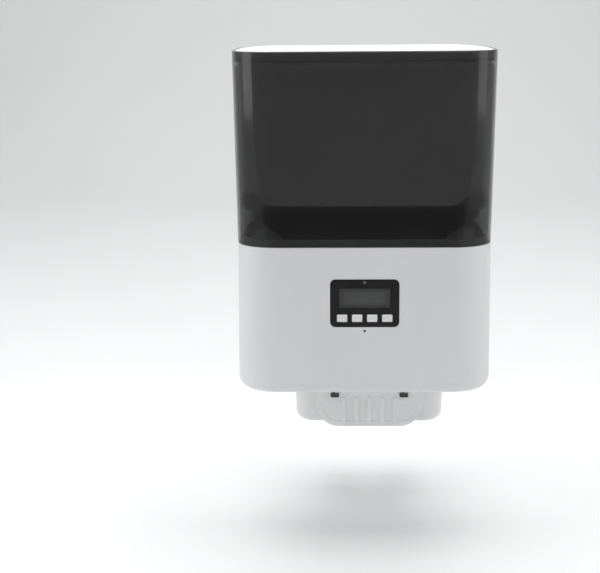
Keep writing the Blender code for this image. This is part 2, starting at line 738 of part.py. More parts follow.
def make_base_deck(material):
    """A tray under the hopper: flat edge, raised lip, and a funnel down to the metering drum."""
    low = DECK_TOP - DECK_THICKNESS
    edge = WALL + GAP
    lip_inner = LIP_INSET + LIP_THICKNESS
    lip_top = SEAM + LIP_RISE
    inlet_half = DRUM_HALF - DRUM_WALL - NOZZLE_STEP
    inlet_front = ROTOR_Y - DRUM_INLET / 2 + NOZZLE_STEP
    inlet_back = ROTOR_Y + DRUM_INLET / 2 - NOZZLE_STEP
    nozzle_top = DRUM_TOP + GAP + NOZZLE_HEIGHT

    def seam_ring(z, inset):
        return plan_ring(SEAM_WIDTH / 2, z, inset)

    def nozzle_ring(z, grow):
        return plan_ring(inlet_half, z, -grow, inlet_front, inlet_back, NOZZLE_RADIUS)

    rings = [
        seam_ring(low, edge),
        seam_ring(DECK_TOP, edge),
        seam_ring(DECK_TOP, LIP_INSET),
        seam_ring(lip_top, LIP_INSET),
        seam_ring(lip_top, lip_inner),
        seam_ring(DECK_TOP, lip_inner),
        throat_ring(DECK_TOP, NOZZLE_STEP),
        nozzle_ring(nozzle_top, 0),
        nozzle_ring(DRUM_TOP + GAP, 0),
        nozzle_ring(DRUM_TOP + GAP, DECK_THICKNESS),
        nozzle_ring(nozzle_top - NOZZLE_STEP, DECK_THICKNESS),
        throat_ring(low, NOZZLE_STEP + DECK_THICKNESS),
    ]
    deck = rings_object("base_deck", rings, material, looped=True)
    catches = []
    for side in (-1, 1):
        x = side * CATCH_SPACING / 2
        y = FRONT + corner_retreat(CATCH_SPACING / 2 + CATCH_WIDTH / 2, CATCH_INSET)
        catches.append(box(f"catch_{side + 1}", (x - CATCH_WIDTH / 2, y, DECK_TOP - DECK_THICKNESS / 2),
                           (x + CATCH_WIDTH / 2, y + CATCH_DEPTH, SEAM + CATCH_RISE)))
    return fuse(deck, *catches)


# ---- control panel ---------------------------------------------------------------------------------------
def button_places():
    return [BUTTON_PITCH * (index - (BUTTON_COUNT - 1) / 2) for index in range(BUTTON_COUNT)]


def make_panel(material):
    panel = plate("control_panel", 0, PANEL_Z, PANEL_WIDTH, PANEL_HEIGHT, PANEL_RADIUS, "Y", FRONT,
                  PANEL_BACK, material, steps=5)
    window = plate("window_hole", 0, WINDOW_Z, WINDOW_WIDTH + 2 * GAP, WINDOW_HEIGHT + 2 * GAP,
                   WINDOW_RADIUS + GAP, "Y", FRONT - WALL, FRONT + WALL)
    light = prism("light_hole", circle(0, LIGHT_Z, LIGHT_RADIUS + GAP, 16), "Y", FRONT - WALL,
                  FRONT + WALL)
    holes = [plate(f"button_hole_{index}", x, BUTTON_Z, BUTTON_WIDTH + 2 * GAP, BUTTON_HEIGHT + 2 * GAP,
                   BUTTON_RADIUS + GAP, "Y", FRONT - WALL, FRONT + WALL)
             for index, x in enumerate(button_places())]
    return cut(panel, window, light, *holes)


def make_buttons(material):
    """Each cap stands proud of the panel and has a flange behind it and a stem to its switch."""
    flange_front = PANEL_BACK + GAP
    flange_back = flange_front + FLANGE_THICKNESS
    stem_end = FRONT + BOARD_SETBACK - SWITCH_HEIGHT - BUTTON_TRAVEL - 2 * GAP
    for index, x in enumerate(button_places()):
        name = f"button_{index + 1}"
        cap = plate(name, x, BUTTON_Z, BUTTON_WIDTH, BUTTON_HEIGHT, BUTTON_RADIUS, "Y",
                    FRONT - BUTTON_PROUD, flange_back - FLANGE_THICKNESS / 2, material)
        flange = plate(f"{name}_flange", x, BUTTON_Z, BUTTON_WIDTH + 2 * FLANGE_SIDE,
                       BUTTON_HEIGHT + 2 * FLANGE_RISE, BUTTON_RADIUS, "Y", flange_front, flange_back)
        stem = prism(f"{name}_stem", circle(x, BUTTON_Z, STEM_RADIUS, 12), "Y", flange_back - GAP, stem_end)
        fuse(cap, flange, stem)
        set_origin(cap, (x, FRONT, BUTTON_Z))
        for shape in (flange, stem):
            set_origin(shape, (x, FRONT, BUTTON_Z))


def make_display(window_material, module_material, light_material):
    plate("display_window", 0, WINDOW_Z, WINDOW_WIDTH, WINDOW_HEIGHT, WINDOW_RADIUS, "Y",
          FRONT + WINDOW_RECESS, PANEL_BACK, window_material)
    plate("display_module", 0, WINDOW_Z, WINDOW_WIDTH + 2 * DISPLAY_SIDE,
          WINDOW_HEIGHT + 2 * DISPLAY_RISE, WINDOW_RADIUS, "Y", PANEL_BACK + GAP,
          PANEL_BACK + GAP + DISPLAY_THICKNESS, module_material)
    profile = [(FRONT + WINDOW_RECESS / 2, LIGHT_RADIUS), (FRONT + BOARD_SETBACK - GAP, LIGHT_RADIUS)]
    turned("light_pipe", "Y", 0, LIGHT_Z, profile, light_material, 16)


def make_control_board(material):
    front = FRONT + BOARD_SETBACK
    board = plate("control_board", 0, PANEL_Z, BOARD_WIDTH, BOARD_HEIGHT, BOARD_RADIUS, "Y", front,
                  front + BOARD_THICKNESS, material)
    middle = front + BOARD_THICKNESS / 2
    half = SWITCH_SIDE / 2
    chip = CHIP_SIDE / 2
    shapes = [box(f"switch_{index}", (x - half, front - SWITCH_HEIGHT, BUTTON_Z - half),
                  (x + half, middle, BUTTON_Z + half)) for index, x in enumerate(button_places())]
    shapes.append(box("controller_chip", (-chip, middle, PANEL_Z - chip),
                      (chip, front + BOARD_THICKNESS + CHIP_HEIGHT, PANEL_Z + chip)))
    return fuse(board, *shapes)


def make_microphone(material):
    start = FRONT + WALL + GAP
    profile = [(start, MICROPHONE_RADIUS), (start + MICROPHONE_HEIGHT, MICROPHONE_RADIUS)]
    turned("microphone", "Y", 0, MICROPHONE_Z, profile, material, 16)


# ---- metering ----------------------------------------------------------------------------------------------
def make_metering_housing(material):
    """A drum round the rotor with a square inlet above and a square outlet below."""
    inlet_half = DRUM_INLET / 2
    outlet_half = DRUM_OUTLET / 2
    throat_half = DRUM_HALF - DRUM_WALL
    drum = prism("metering_housing", circle(ROTOR_Y, ROTOR_Z, DRUM_OUTER, 48), "X", -DRUM_SIDE, DRUM_HALF,
                 material)
    inlet = box("drum_inlet", (-DRUM_SIDE, ROTOR_Y - inlet_half - DRUM_WALL, ROTOR_Z),
                (DRUM_HALF, ROTOR_Y + inlet_half + DRUM_WALL, DRUM_TOP))
    outlet = box("drum_outlet", (-DRUM_SIDE, ROTOR_Y - outlet_half - DRUM_WALL, DRUM_BOTTOM),
                 (DRUM_HALF, ROTOR_Y + outlet_half + DRUM_WALL, ROTOR_Z))
    bore = prism("drum_bore", circle(ROTOR_Y, ROTOR_Z, DRUM_RADIUS, 48), "X", -DRUM_HALF, DRUM_SIDE)
    inlet_bore = box("inlet_bore", (-throat_half, ROTOR_Y - inlet_half, ROTOR_Z),
                     (throat_half, ROTOR_Y + inlet_half, DRUM_TOP + DRUM_WALL))
    outlet_bore = box("outlet_bore", (-throat_half, ROTOR_Y - outlet_half, DRUM_BOTTOM - DRUM_WALL),
                      (throat_half, ROTOR_Y + outlet_half, ROTOR_Z))
    bush = prism("left_bush_hole", circle(ROTOR_Y, ROTOR_Z, BUSH_RADIUS + GAP, 20), "X",
                 -DRUM_SIDE - DRUM_WALL, 0)
    fuse(drum, inlet, outlet)
    return cut(drum, bore, inlet_bore, outlet_bore, bush)


def plate_posts():
    """Centres of the posts that join the gear plate to the drum's end cover, in Y and Z."""
    back = ROTOR_Y + MODULE * DRIVEN_TEETH / 2 + MODULE + COLUMN_RADIUS + COLUMN_CLEARANCE
    reach = MODULE * DRIVEN_TEETH / 2 + 2 * MODULE
    return [(back, -reach), (back, reach), (IDLER_Y, -reach), (IDLER_Y, reach)]


def make_end_cover(material):
    posts = plate_posts()
    back = posts[0][0] + PLATE_MARGIN
    front = posts[2][0] - PLATE_MARGIN
    reach = posts[1][1] + PLATE_MARGIN
    cover = plate("metering_end_cover", (front + back) / 2, ROTOR_Z, back - front, 2 * reach,
                  PLATE_MARGIN, "X", END_COVER_X, END_COVER_X + PLATE_THICKNESS, material)
    hole = prism("right_bush_hole", circle(ROTOR_Y, ROTOR_Z, BUSH_RADIUS + GAP, 20), "X", END_COVER_X
                 - WALL, END_COVER_X + 2 * PLATE_THICKNESS)
    pin = prism("idler_pin_hole", circle(IDLER_Y, ROTOR_Z, PIN_RADIUS + GAP, 16), "X", END_COVER_X - WALL,
                END_COVER_X + 2 * PLATE_THICKNESS)
    return cut(cover, hole, pin)


def make_gear_plate(material):
    """Carries the motor and the outer ends of the idler pin and the rotor axle."""
    posts = plate_posts()
    back = posts[0][0] + PLATE_MARGIN
    front = PINION_Y - MOTOR_RADIUS - PLATE_MARGIN / 2
    reach = posts[1][1] + PLATE_MARGIN
    base = plate("gear_plate", (front + back) / 2, ROTOR_Z, back - front, 2 * reach, PLATE_MARGIN, "X",
                 GEAR_PLATE_X, GEAR_PLATE_X + PLATE_THICKNESS, material)
    start = END_COVER_X + PLATE_THICKNESS + GAP
    columns = [prism(f"plate_post_{index}", circle(y, z, COLUMN_RADIUS, 12), "X", start,
                     GEAR_PLATE_X + PLATE_THICKNESS / 2) for index, (y, z) in enumerate(posts)]
    holes = [prism(f"plate_hole_{index}", circle(y, ROTOR_Z, radius + GAP, 16), "X", GEAR_PLATE_X - WALL,
                   GEAR_PLATE_X + 2 * PLATE_THICKNESS)
             for index, (y, radius) in enumerate(((ROTOR_Y, AXLE_RADIUS), (IDLER_Y, PIN_RADIUS),
                                                  (PINION_Y, 2 * PIN_RADIUS)))]
    fuse(base, *columns)
    return cut(base, *holes)


def make_rotor(material):
    """A hub with flat blades that sweep the drum."""
    half = ROTOR_WIDTH / 2
    spread = math.asin(ROTOR_BLADE / 2 / ROTOR_HUB)
    tip_spread = math.asin(ROTOR_BLADE / 2 / ROTOR_RADIUS)
    outline = []
    for blade in range(ROTOR_BLADES):
        middle = 2 * math.pi * (blade + 0.5) / ROTOR_BLADES
        for angle, radius in ((middle - spread, ROTOR_HUB), (middle - tip_spread, ROTOR_RADIUS),
                              (middle + tip_spread, ROTOR_RADIUS), (middle + spread, ROTOR_HUB)):
            outline.append((ROTOR_Y + radius * math.cos(angle), ROTOR_Z + radius * math.sin(angle)))
    rotor = prism("portion_rotor", outline, "X", -half, half, material)
    bore = prism("rotor_bore", circle(ROTOR_Y, ROTOR_Z, AXLE_RADIUS + GAP, 16), "X", -half - WALL,
                 half + WALL)
    cut(rotor, bore)
    for shape in (rotor, bore):
        set_origin(shape, (0, ROTOR_Y, ROTOR_Z))


def make_axle(material):
    end = GEAR_PLATE_X + PLATE_THICKNESS - GAP
    start = -DRUM_SIDE - AXLE_END
    profile = [(start, AXLE_RADIUS - GAP), (start + GAP, AXLE_RADIUS), (end - GAP, AXLE_RADIUS),
               (end, AXLE_RADIUS - GAP)]
    axle = turned("rotor_axle", "X", ROTOR_Y, ROTOR_Z, profile, material, 16)
    set_origin(axle, (0, ROTOR_Y, ROTOR_Z))


def make_bushes(material):
    """Flanged bearings for the axle, one in the drum's end wall and one in its end cover."""
    length = BUSH_PROUD + PLATE_THICKNESS - GAP
    spots = (("bush_left", -DRUM_SIDE - BUSH_PROUD, 1),
             ("bush_right", END_COVER_X + PLATE_THICKNESS + BUSH_PROUD, -1))
    for name, start, way in spots:
        ends = (start, start + way * length)
        outer = circle(ROTOR_Y, ROTOR_Z, BUSH_RADIUS, 20)
        inner = circle(ROTOR_Y, ROTOR_Z, AXLE_RADIUS + GAP, 20)
        tube(name, outer, inner, "X", min(ends), max(ends), material)


def make_gears(white, steel):
    """The driven gear on the axle, the idler on its pin and the pinion on the motor's shaft."""
    driven_centre = (0, ROTOR_Y, ROTOR_Z)
    driven = prism("driven_gear", gear_outline(ROTOR_Y, ROTOR_Z, DRIVEN_TEETH, math.pi / DRIVEN_TEETH),
                   "X", GEAR_X, GEAR_END_X, white)
    bore = prism("driven_bore", circle(ROTOR_Y, ROTOR_Z, AXLE_RADIUS + GAP, 16), "X", GEAR_X - WALL,
                 GEAR_END_X + WALL)
    cut(driven, bore)
    for shape in (driven, bore):
        set_origin(shape, driven_centre)
    idler = prism("idler_gear", gear_outline(IDLER_Y, ROTOR_Z, IDLER_TEETH), "X", GEAR_X,
                  GEAR_END_X, white)
    idler_bore = prism("idler_bore", circle(IDLER_Y, ROTOR_Z, PIN_RADIUS + GAP, 16), "X", GEAR_X - WALL,
                       GEAR_END_X + WALL)
    cut(idler, idler_bore)
    for shape in (idler, idler_bore):
        set_origin(shape, (0, IDLER_Y, ROTOR_Z))
    pinion = prism("motor_pinion", gear_outline(PINION_Y, ROTOR_Z, PINION_TEETH, math.pi / PINION_TEETH),
                   "X", GEAR_X, GEAR_END_X, steel)
    shaft = prism("pinion_shaft", circle(PINION_Y, ROTOR_Z, PIN_RADIUS, 16), "X", GEAR_X + GEAR_WIDTH / 2,
                  MOTOR_X + SHAFT_REACH)
    fuse(pinion, shaft)
    for shape in (pinion, shaft):
        set_origin(shape, (0, PINION_Y, ROTOR_Z))
    prism("idler_pin", circle(IDLER_Y, ROTOR_Z, PIN_RADIUS, 16), "X", END_COVER_X + GAP,
          GEAR_PLATE_X + PLATE_THICKNESS, steel)


def make_motor(material):
    """A round motor with a stepped gear case and a blind bore for its output shaft."""
    end = MOTOR_X + MOTOR_LENGTH
    can = MOTOR_RADIUS - MOTOR_STEP
    collar = MOTOR_X + MOTOR_COLLAR
    step = end - MOTOR_END_LENGTH
    profile = [(MOTOR_X, MOTOR_RADIUS), (collar, MOTOR_RADIUS), (collar, can), (step, can),
               (step, MOTOR_END_RADIUS), (end, MOTOR_END_RADIUS)]
    motor = turned("gear_motor", "X", PINION_Y, ROTOR_Z, profile, material, 28)
    bore = prism("motor_bore", circle(PINION_Y, ROTOR_Z, PIN_RADIUS + GAP, 16), "X", MOTOR_X - WALL,
                 MOTOR_X + SHAFT_REACH + SHAFT_SPACE)
    return cut(motor, bore)


def spout_levels(y):
    """Lowest and highest height of the chute's outside where it crosses a vertical plane at y."""
    low = SPOUT_FLOOR - CHUTE_SLOPE * y
    return low, low + SPOUT_HEIGHT


def chute_rings(wall):
    """Sections of the chute: level ones under the drum, then upright ones on through the rear wall."""
    half = DRUM_HALF - DRUM_WALL + CHUTE_WALL - wall
    front = ROTOR_Y - DRUM_OUTLET / 2 - CHUTE_WALL + wall
    back = ROTOR_Y + DRUM_OUTLET / 2 + CHUTE_WALL - wall
    rings = []
    for z in (DRUM_BOTTOM - GAP, DRUM_BOTTOM - GAP - CHUTE_COLLAR):
        outline = rounded_outline(-half, half, front, back, CHUTE_RADIUS - wall, 2)
        rings.append([(x, y, z) for x, y in outline])
    for y in (-2 * WALL, SPOUT_REACH):
        low, high = spout_levels(y)
        outline = rounded_outline(-SPOUT_WIDTH / 2 + wall, SPOUT_WIDTH / 2 - wall, low + wall,
                                  high - wall, CHUTE_RADIUS - wall, 2)
        rings.append([(x, y, z) for x, z in outline])
    return rings


def make_chute(material):
    outside = chute_rings(0)
    inside = chute_rings(CHUTE_WALL)
    inside.reverse()
    return rings_object("rear_chute", outside + inside, material, looped=True)


# ---- power and sound ---------------------------------------------------------------------------------------
def make_battery_box(material):
    """Open below, so that the cells drop out when the door is off."""
    low = COVER_TOP + GAP
    high = CELL_Z + CELL_RADIUS + CELL_MARGIN
    wall = BATTERY_BOX_WALL
    outer = rounded_outline(-BOX_HALF_WIDTH - wall, BOX_HALF_WIDTH + wall, BATTERY_BOX_Y - BOX_HALF_DEPTH
                            - wall, BATTERY_BOX_Y + BOX_HALF_DEPTH + wall, BATTERY_BOX_RADIUS, 2)
    inner = rounded_outline(-BOX_HALF_WIDTH, BOX_HALF_WIDTH, BATTERY_BOX_Y - BOX_HALF_DEPTH,
                            BATTERY_BOX_Y + BOX_HALF_DEPTH, BATTERY_BOX_RADIUS - wall, 2)
    sections = ((outer, high + wall), (outer, low), (inner, low), (inner, high))
    rings = [[(x, y, z) for x, y in outline] for outline, z in sections]
    return rings_object("battery_box", rings, material)


def make_cells(material):
    """Cells lie side by side and point to and fro, as a series of three does."""
    for index in range(CELL_COUNT):
        way = 1 if index % 2 else -1
        x = CELL_PITCH * (index - (CELL_COUNT - 1) / 2)
        half = CELL_LENGTH / 2
        shoulder = half - CELL_NUB
        profile = [(-half, CELL_RADIUS - CELL_EDGE), (-half + CELL_EDGE, CELL_RADIUS),
                   (shoulder - CELL_EDGE, CELL_RADIUS), (shoulder, CELL_RADIUS - CELL_EDGE),
                   (shoulder, CELL_NUB_RADIUS), (half, CELL_NUB_RADIUS)]
        placed_profile = [(BATTERY_BOX_Y + way * along, radius) for along, radius in profile]
        turned(f"battery_{index + 1}", "Y", x, CELL_Z, placed_profile, material, 24)


def make_contacts(material):
    for name, way in (("contact_strip_front", -1), ("contact_strip_rear", 1)):
        outside = BATTERY_BOX_Y + way * (BOX_HALF_DEPTH - GAP)
        inside = outside - way * CONTACT_THICKNESS
        low = CELL_Z - CONTACT_HEIGHT / 2
        high = CELL_Z + CONTACT_HEIGHT / 2
        reach = BOX_HALF_WIDTH - CONTACT_INSET
        box(name, (-reach, min(outside, inside), low), (reach, max(outside, inside), high), material)


def make_jack(material):
    face = base_half_width(JACK_Z) - WALL - GAP
    outer = circle(JACK_Y, JACK_Z, JACK_RADIUS, 20)
    inner = circle(JACK_Y, JACK_Z, JACK_BORE, 20)
    jack = prism("power_inlet", outer, "X", face - JACK_LENGTH, face, material)
    bore = prism("inlet_bore_hole", inner, "X", face - JACK_LENGTH + JACK_END, face + WALL)
    return cut(jack, bore)


def make_speaker(material):
    low = COVER_TOP + GAP
    profile = [(low, SPEAKER_RADIUS), (low + SPEAKER_RIM, SPEAKER_RADIUS),
               (low + SPEAKER_CONE, SPEAKER_MAGNET), (low + SPEAKER_HEIGHT, SPEAKER_MAGNET)]
    return turned("speaker", "Z", SPEAKER_X, SPEAKER_Y, profile, material, 28)


# ---- clamp and bowl ---------------------------------------------------------------------------------
def make_clamp_bolts(material):
    for side, x in bolt_places():
        hexagon = circle(x, 0, 2 * CLAMP_BOLT_RADIUS, 6)
        name = f"clamp_bolt_{side}"
        bolt = prism(name, circle(x, 0, CLAMP_BOLT_RADIUS, 16), "Y", -WALL - BOLT_HEAD / 2, CLAMP_BOLT_LENGTH,
                     material)
        fuse(bolt, prism(f"{name}_head", hexagon, "Y", -WALL - GAP - BOLT_HEAD, -WALL - GAP))


def make_thumb_nuts(material):
    """A round nut with two wings, on the crate's inner side."""
    start = CLAMP_BACK + GAP
    half = NUT_WING_THICKNESS / 2
    for side, x in bolt_places():
        name = f"thumb_nut_{side}"
        nut = prism(name, circle(x, 0, NUT_RADIUS, 20), "Y", start, start + NUT_LENGTH, material)
        wings = box(f"{name}_wings", (x - NUT_WING, start + NUT_WING_START, -half),
                    (x + NUT_WING, start + NUT_WING_END, half))
        bore = prism(f"{name}_bore", circle(x, 0, CLAMP_BOLT_RADIUS + GAP, 16), "Y", start - WALL,
                     start + 2 * NUT_LENGTH)
        fuse(nut, wings)
        cut(nut, bore)
        for shape in (nut, wings, bore):
            set_origin(shape, (x, 0, 0))


def tongue_outline():
    """Front view of the bracket: a bar for the two bolts with a tongue below it, rounded at its foot."""
    bar = CLAMP_BAR_WIDTH / 2
    half = TONGUE_WIDTH / 2
    high = CLAMP_BAR_HEIGHT / 2
    right = tongue_corner(0) + [(half, -high), (bar, -high), (bar, high)]
    left = [(-x, z) for x, z in reversed(right)]
    return [(CLAMP_SHIFT + x, z) for x, z in right + left]


def tongue_corner(inset):
    """Points round one lower corner of the tongue, from its foot to its side, drawn in by inset."""
    radius = TONGUE_RADIUS - inset
    points = []
    for step in range(TONGUE_STEPS + 1):
        angle = math.pi / 2 * step / TONGUE_STEPS
        points.append((TONGUE_FOOT + radius * math.sin(angle),
                       TONGUE_BOTTOM + TONGUE_RADIUS - radius * math.cos(angle)))
    return points


def tongue_foot(inset):
    """Points along the tongue's foot, from its left side round both corners to its right, drawn in."""
    right = tongue_corner(inset)
    return [(CLAMP_SHIFT - x, z) for x, z in reversed(right)] + [(CLAMP_SHIFT + x, z) for x, z in right]


def make_bead():
    """A raised bead that follows the foot of the tongue and its rounded corners."""
    outline = tongue_foot(BEAD_INSET) + tongue_foot(BEAD_INSET + BEAD_WIDTH)[::-1]
    return prism("tongue_bead", outline, "Y", CLAMP_FRONT - BEAD_PROUD, CLAMP_FRONT + CLAMP_THICKNESS / 2)


def make_bracket(material):
    """Bears on the inside of the crate wires, carries the bowl's shelf and has slots for the bolts."""
    bracket = prism("bowl_bracket", tongue_outline(), "Y", CLAMP_FRONT, CLAMP_BACK, material)
    sink = GAP / 2
    shelf = plate("shelf", CLAMP_SHIFT, CLAMP_FRONT + (SHELF_REACH + CLAMP_THICKNESS) / 2, 2 * TONGUE_FOOT,
                  SHELF_REACH - CLAMP_THICKNESS / 2, SHELF_RADIUS, "Z", TONGUE_BOTTOM + sink, SHELF_TOP)
    rail = TONGUE_FOOT - RAIL_WIDTH
    rails = [box(f"shelf_rail_{side + 1}", (CLAMP_SHIFT + side * rail - RAIL_WIDTH / 2,
                                           CLAMP_BACK - CLAMP_THICKNESS / 2, SHELF_TOP - sink),
                 (CLAMP_SHIFT + side * rail + RAIL_WIDTH / 2, SHELF_REACH - SHELF_RADIUS,
                  SHELF_TOP + SHELF_LIP)) for side in (-1, 1)]
    ribs = []
    for index in range(RIB_COUNT):
        x = CLAMP_SHIFT + RIB_PITCH * (index - (RIB_COUNT - 1) / 2)
        ribs.append(plate(f"bracket_rib_{index}", x, TONGUE_BOTTOM + RIB_LIFT + RIB_HEIGHT / 2, RIB_WIDTH,
                          RIB_HEIGHT, RIB_EDGE, "Y", CLAMP_FRONT - RIB_PROUD,
                          CLAMP_FRONT + CLAMP_THICKNESS / 2))
    fuse(bracket, shelf, *rails, *ribs, make_bead())
    slots = [plate(f"bolt_slot_{side}", CLAMP_SHIFT + x, 0, 2 * (CLAMP_ADJUST + CLAMP_BOLT_RADIUS + GAP),
                   2 * (CLAMP_BOLT_RADIUS + GAP), CLAMP_BOLT_RADIUS, "Y", CLAMP_FRONT - WALL,
                   CLAMP_BACK + WALL) for side, x in bolt_places()]
    low = spout_levels(CLAMP_BACK)[0] - SPOUT_MARGIN
    high = spout_levels(CLAMP_FRONT)[1] + SPOUT_MARGIN
    window = plate("bracket_window", CLAMP_SHIFT, (low + high) / 2,
                   SPOUT_WIDTH + 2 * CLAMP_ADJUST + SPOUT_MARGIN, high - low, SPOUT_MARGIN, "Y",
                   CLAMP_FRONT - WALL, CLAMP_BACK + WALL)
    return cut(bracket, window, *slots)


def make_clips(material):
    """Small hooks that grip one crate wire each, in front of the bracket."""
    for side, name in ((-1, "wire_clip_left"), (1, "wire_clip_right")):
        x = CLAMP_SHIFT + side * CLIP_REACH
        clip = plate(name, x, -CLIP_DROP, CLIP_WIDTH, CLIP_HEIGHT, CLIP_RADIUS, "Y",
                     CLAMP_FRONT - GAP - 2 * WIRE_RADIUS - CLIP_WALL, CLAMP_FRONT - GAP, material)
        groove = prism(f"{name}_groove", circle(x + CLIP_GROOVE_SHIFT, CLAMP_FRONT - GAP - WIRE_RADIUS,
                                               WIRE_RADIUS, 16), "Z", -CLIP_DROP - CLIP_HEIGHT,
                       -CLIP_DROP + CLIP_HEIGHT)
        mouth = box(f"{name}_mouth", (x + CLIP_GROOVE_SHIFT - WIRE_RADIUS, CLAMP_FRONT - GAP - WIRE_RADIUS,
                                      -CLIP_DROP - CLIP_HEIGHT),
                    (x + CLIP_GROOVE_SHIFT + WIRE_RADIUS, CLAMP_FRONT + GAP, -CLIP_DROP + CLIP_HEIGHT))
        cut(clip, groove, mouth)


def bowl_ring(z, inset):
    """The bowl's outline at height z: its walls lean out towards the rim."""
    share = (z - BOWL_BOTTOM) / BOWL_HEIGHT
    lean = BOWL_DRAFT * (1 - share)
    return plan_ring(BOWL_WIDTH / 2 - lean, z, inset, BOWL_FRONT, BOWL_FRONT + BOWL_DEPTH - lean,
                     BOWL_RADIUS, CLAMP_SHIFT)


def make_bowl(material):
    rings = []
    for step in range(BOWL_STEPS + 1):
        angle = math.pi / 2 * step / BOWL_STEPS
        rings.append(bowl_ring(BOWL_BOTTOM + BOWL_FILLET * (1 - math.cos(angle)),
                               BOWL_FILLET * (1 - math.sin(angle))))
    rings += [bowl_ring(BOWL_TOP, 0), bowl_ring(BOWL_TOP, BOWL_WALL)]
    inner = BOWL_FILLET - BOWL_WALL / 2
    for step in range(BOWL_STEPS, -1, -1):
        angle = math.pi / 2 * step / BOWL_STEPS
        rings.append(bowl_ring(BOWL_BOTTOM + BOWL_WALL + inner * (1 - math.cos(angle)),
                               BOWL_WALL + inner * (1 - math.sin(angle))))
    bowl = rings_object("bowl", rings, material)
    foot_width = 2 * (TONGUE_FOOT - 3 * RAIL_WIDTH / 2 - GAP)
    foot_depth = SHELF_REACH - CLAMP_BACK - 2 * BOWL_FILLET
    foot = plate("bowl_foot", CLAMP_SHIFT, BOWL_FRONT + BOWL_FILLET + foot_depth / 2, foot_width,
                 foot_depth, BOWL_FOOT_RADIUS, "Z", SHELF_TOP + GAP, BOWL_BOTTOM + BOWL_WALL / 2)
    return fuse(bowl, foot)


# ---- the whole feeder ------------------------------------------------------------------------------
def clear_scene():
    for obj in list(bpy.data.objects):
        bpy.data.objects.remove(obj, do_unlink=True)


def main():
    clear_scene()
    white = new_material("white_plastic", (0.80, 0.80, 0.80), 0.45)
    smoky = new_material("smoky_plastic", (0.03, 0.03, 0.035), 0.15, alpha=0.6)
    frosted = new_material("frosted_plastic", (0.82, 0.84, 0.84), 0.35, alpha=0.7)
    black = new_material("black_plastic", (0.02, 0.02, 0.022), 0.25)
    grey = new_material("grey_plastic", (0.45, 0.46, 0.47), 0.5)
    silicone = new_material("silicone", (0.70, 0.71, 0.71), 0.6)
    glass = new_material("window_plastic", (0.25, 0.27, 0.26), 0.1, alpha=0.6)
    board = new_material("circuit_board", (0.03, 0.18, 0.08), 0.5)
    steel = new_material("steel", (0.62, 0.62, 0.63), 0.3, metallic=1.0)
    bronze = new_material("bronze", (0.55, 0.40, 0.22), 0.35, metallic=1.0)
    jacket = new_material("battery_jacket", (0.10, 0.10, 0.11), 0.3, metallic=0.4)

    make_hopper(smoky)
    make_hopper_gasket(silicone)
    make_lid(white)
    make_lid_seal(silicone)
    make_base_housing(white)
    make_bottom_cover(white)
    make_cover_screws(steel)
    make_battery_door(white)
    make_base_deck(white)
    make_panel(black)
    make_buttons(white)
    make_display(glass, grey, glass)
    make_control_board(board)
    make_microphone(black)
    make_metering_housing(grey)
    make_end_cover(grey)
    make_gear_plate(grey)
    make_rotor(silicone)
    make_axle(steel)
    make_bushes(bronze)
    make_gears(white, steel)
    make_motor(steel)
    make_chute(white)
    make_battery_box(grey)
    make_cells(jacket)
    make_contacts(steel)
    make_jack(black)
    make_speaker(black)
    make_clamp_bolts(steel)
    make_thumb_nuts(black)
    make_bracket(frosted)
    make_clips(black)
    make_bowl(frosted)


if __name__ == "__main__":
    main()
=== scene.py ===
"""Looks of the automatic pet feeder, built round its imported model.

Lengths are in metres. The feeder's front faces -Y, +Z is up, and the flat rear wall of its base lies on
Y = 0, against the crate. Each sub-assembly is a class that holds its sizes, builds its meshes and
dresses them; each finish is a frozen dataclass that makes one material.
"""

import logging
import math
from dataclasses import dataclass, field
from enum import Enum
from typing import Sequence

import bmesh
import bpy
from mathutils import Matrix, Vector


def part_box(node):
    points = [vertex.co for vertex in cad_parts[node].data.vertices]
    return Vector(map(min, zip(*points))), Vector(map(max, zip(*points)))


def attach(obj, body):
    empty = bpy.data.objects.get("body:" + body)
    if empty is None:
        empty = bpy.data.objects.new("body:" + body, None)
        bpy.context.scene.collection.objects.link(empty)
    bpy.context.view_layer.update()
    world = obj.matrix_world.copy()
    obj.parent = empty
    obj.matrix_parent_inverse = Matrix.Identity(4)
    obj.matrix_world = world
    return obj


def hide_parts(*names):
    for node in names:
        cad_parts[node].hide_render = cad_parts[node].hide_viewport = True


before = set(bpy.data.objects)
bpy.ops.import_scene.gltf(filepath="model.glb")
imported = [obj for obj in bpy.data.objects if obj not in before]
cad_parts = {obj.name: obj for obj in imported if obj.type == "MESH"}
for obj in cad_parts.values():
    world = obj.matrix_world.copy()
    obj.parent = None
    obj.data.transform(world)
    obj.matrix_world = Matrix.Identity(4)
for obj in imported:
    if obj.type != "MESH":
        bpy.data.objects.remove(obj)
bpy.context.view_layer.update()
LOG = logging.getLogger("pet_feeder")

Point = tuple[float, float, float]
Flat = tuple[float, float]
Ring = list[Point]

GAP = 0.0003
WALL = 0.0025
SHARP_ANGLE = math.radians(34)
NODE_SHARP = math.radians(28)
NODE_FLAT = math.radians(0.6)
BRACKET_SHARP = math.radians(30)
BRACKET_FLAT = math.radians(0.3)
MERGE_DISTANCE = 0.000002
SMALLEST_RADIUS = 0.00015
LARGEST_SHARE = 0.45


class Axis(Enum):
    """A world axis, and the order in which it takes two cross coordinates and one along it."""

    X = "X"
    Y = "Y"
    Z = "Z"

    def place(self, u: float, v: float, w: float) -> Point:
        """The point at w along this axis, with u and v across it."""
        return {"X": (w, u, v), "Y": (u, w, v), "Z": (u, v, w)}[self.value]


class Body(Enum):
    """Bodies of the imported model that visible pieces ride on."""

    BASE = "base"
    HOPPER = "hopper"
    LID = "lid"
    BOWL = "bowl"
    DOOR = "battery_door"
    ROTOR = "rotor"
    IDLER = "idler"
    PINION = "pinion"


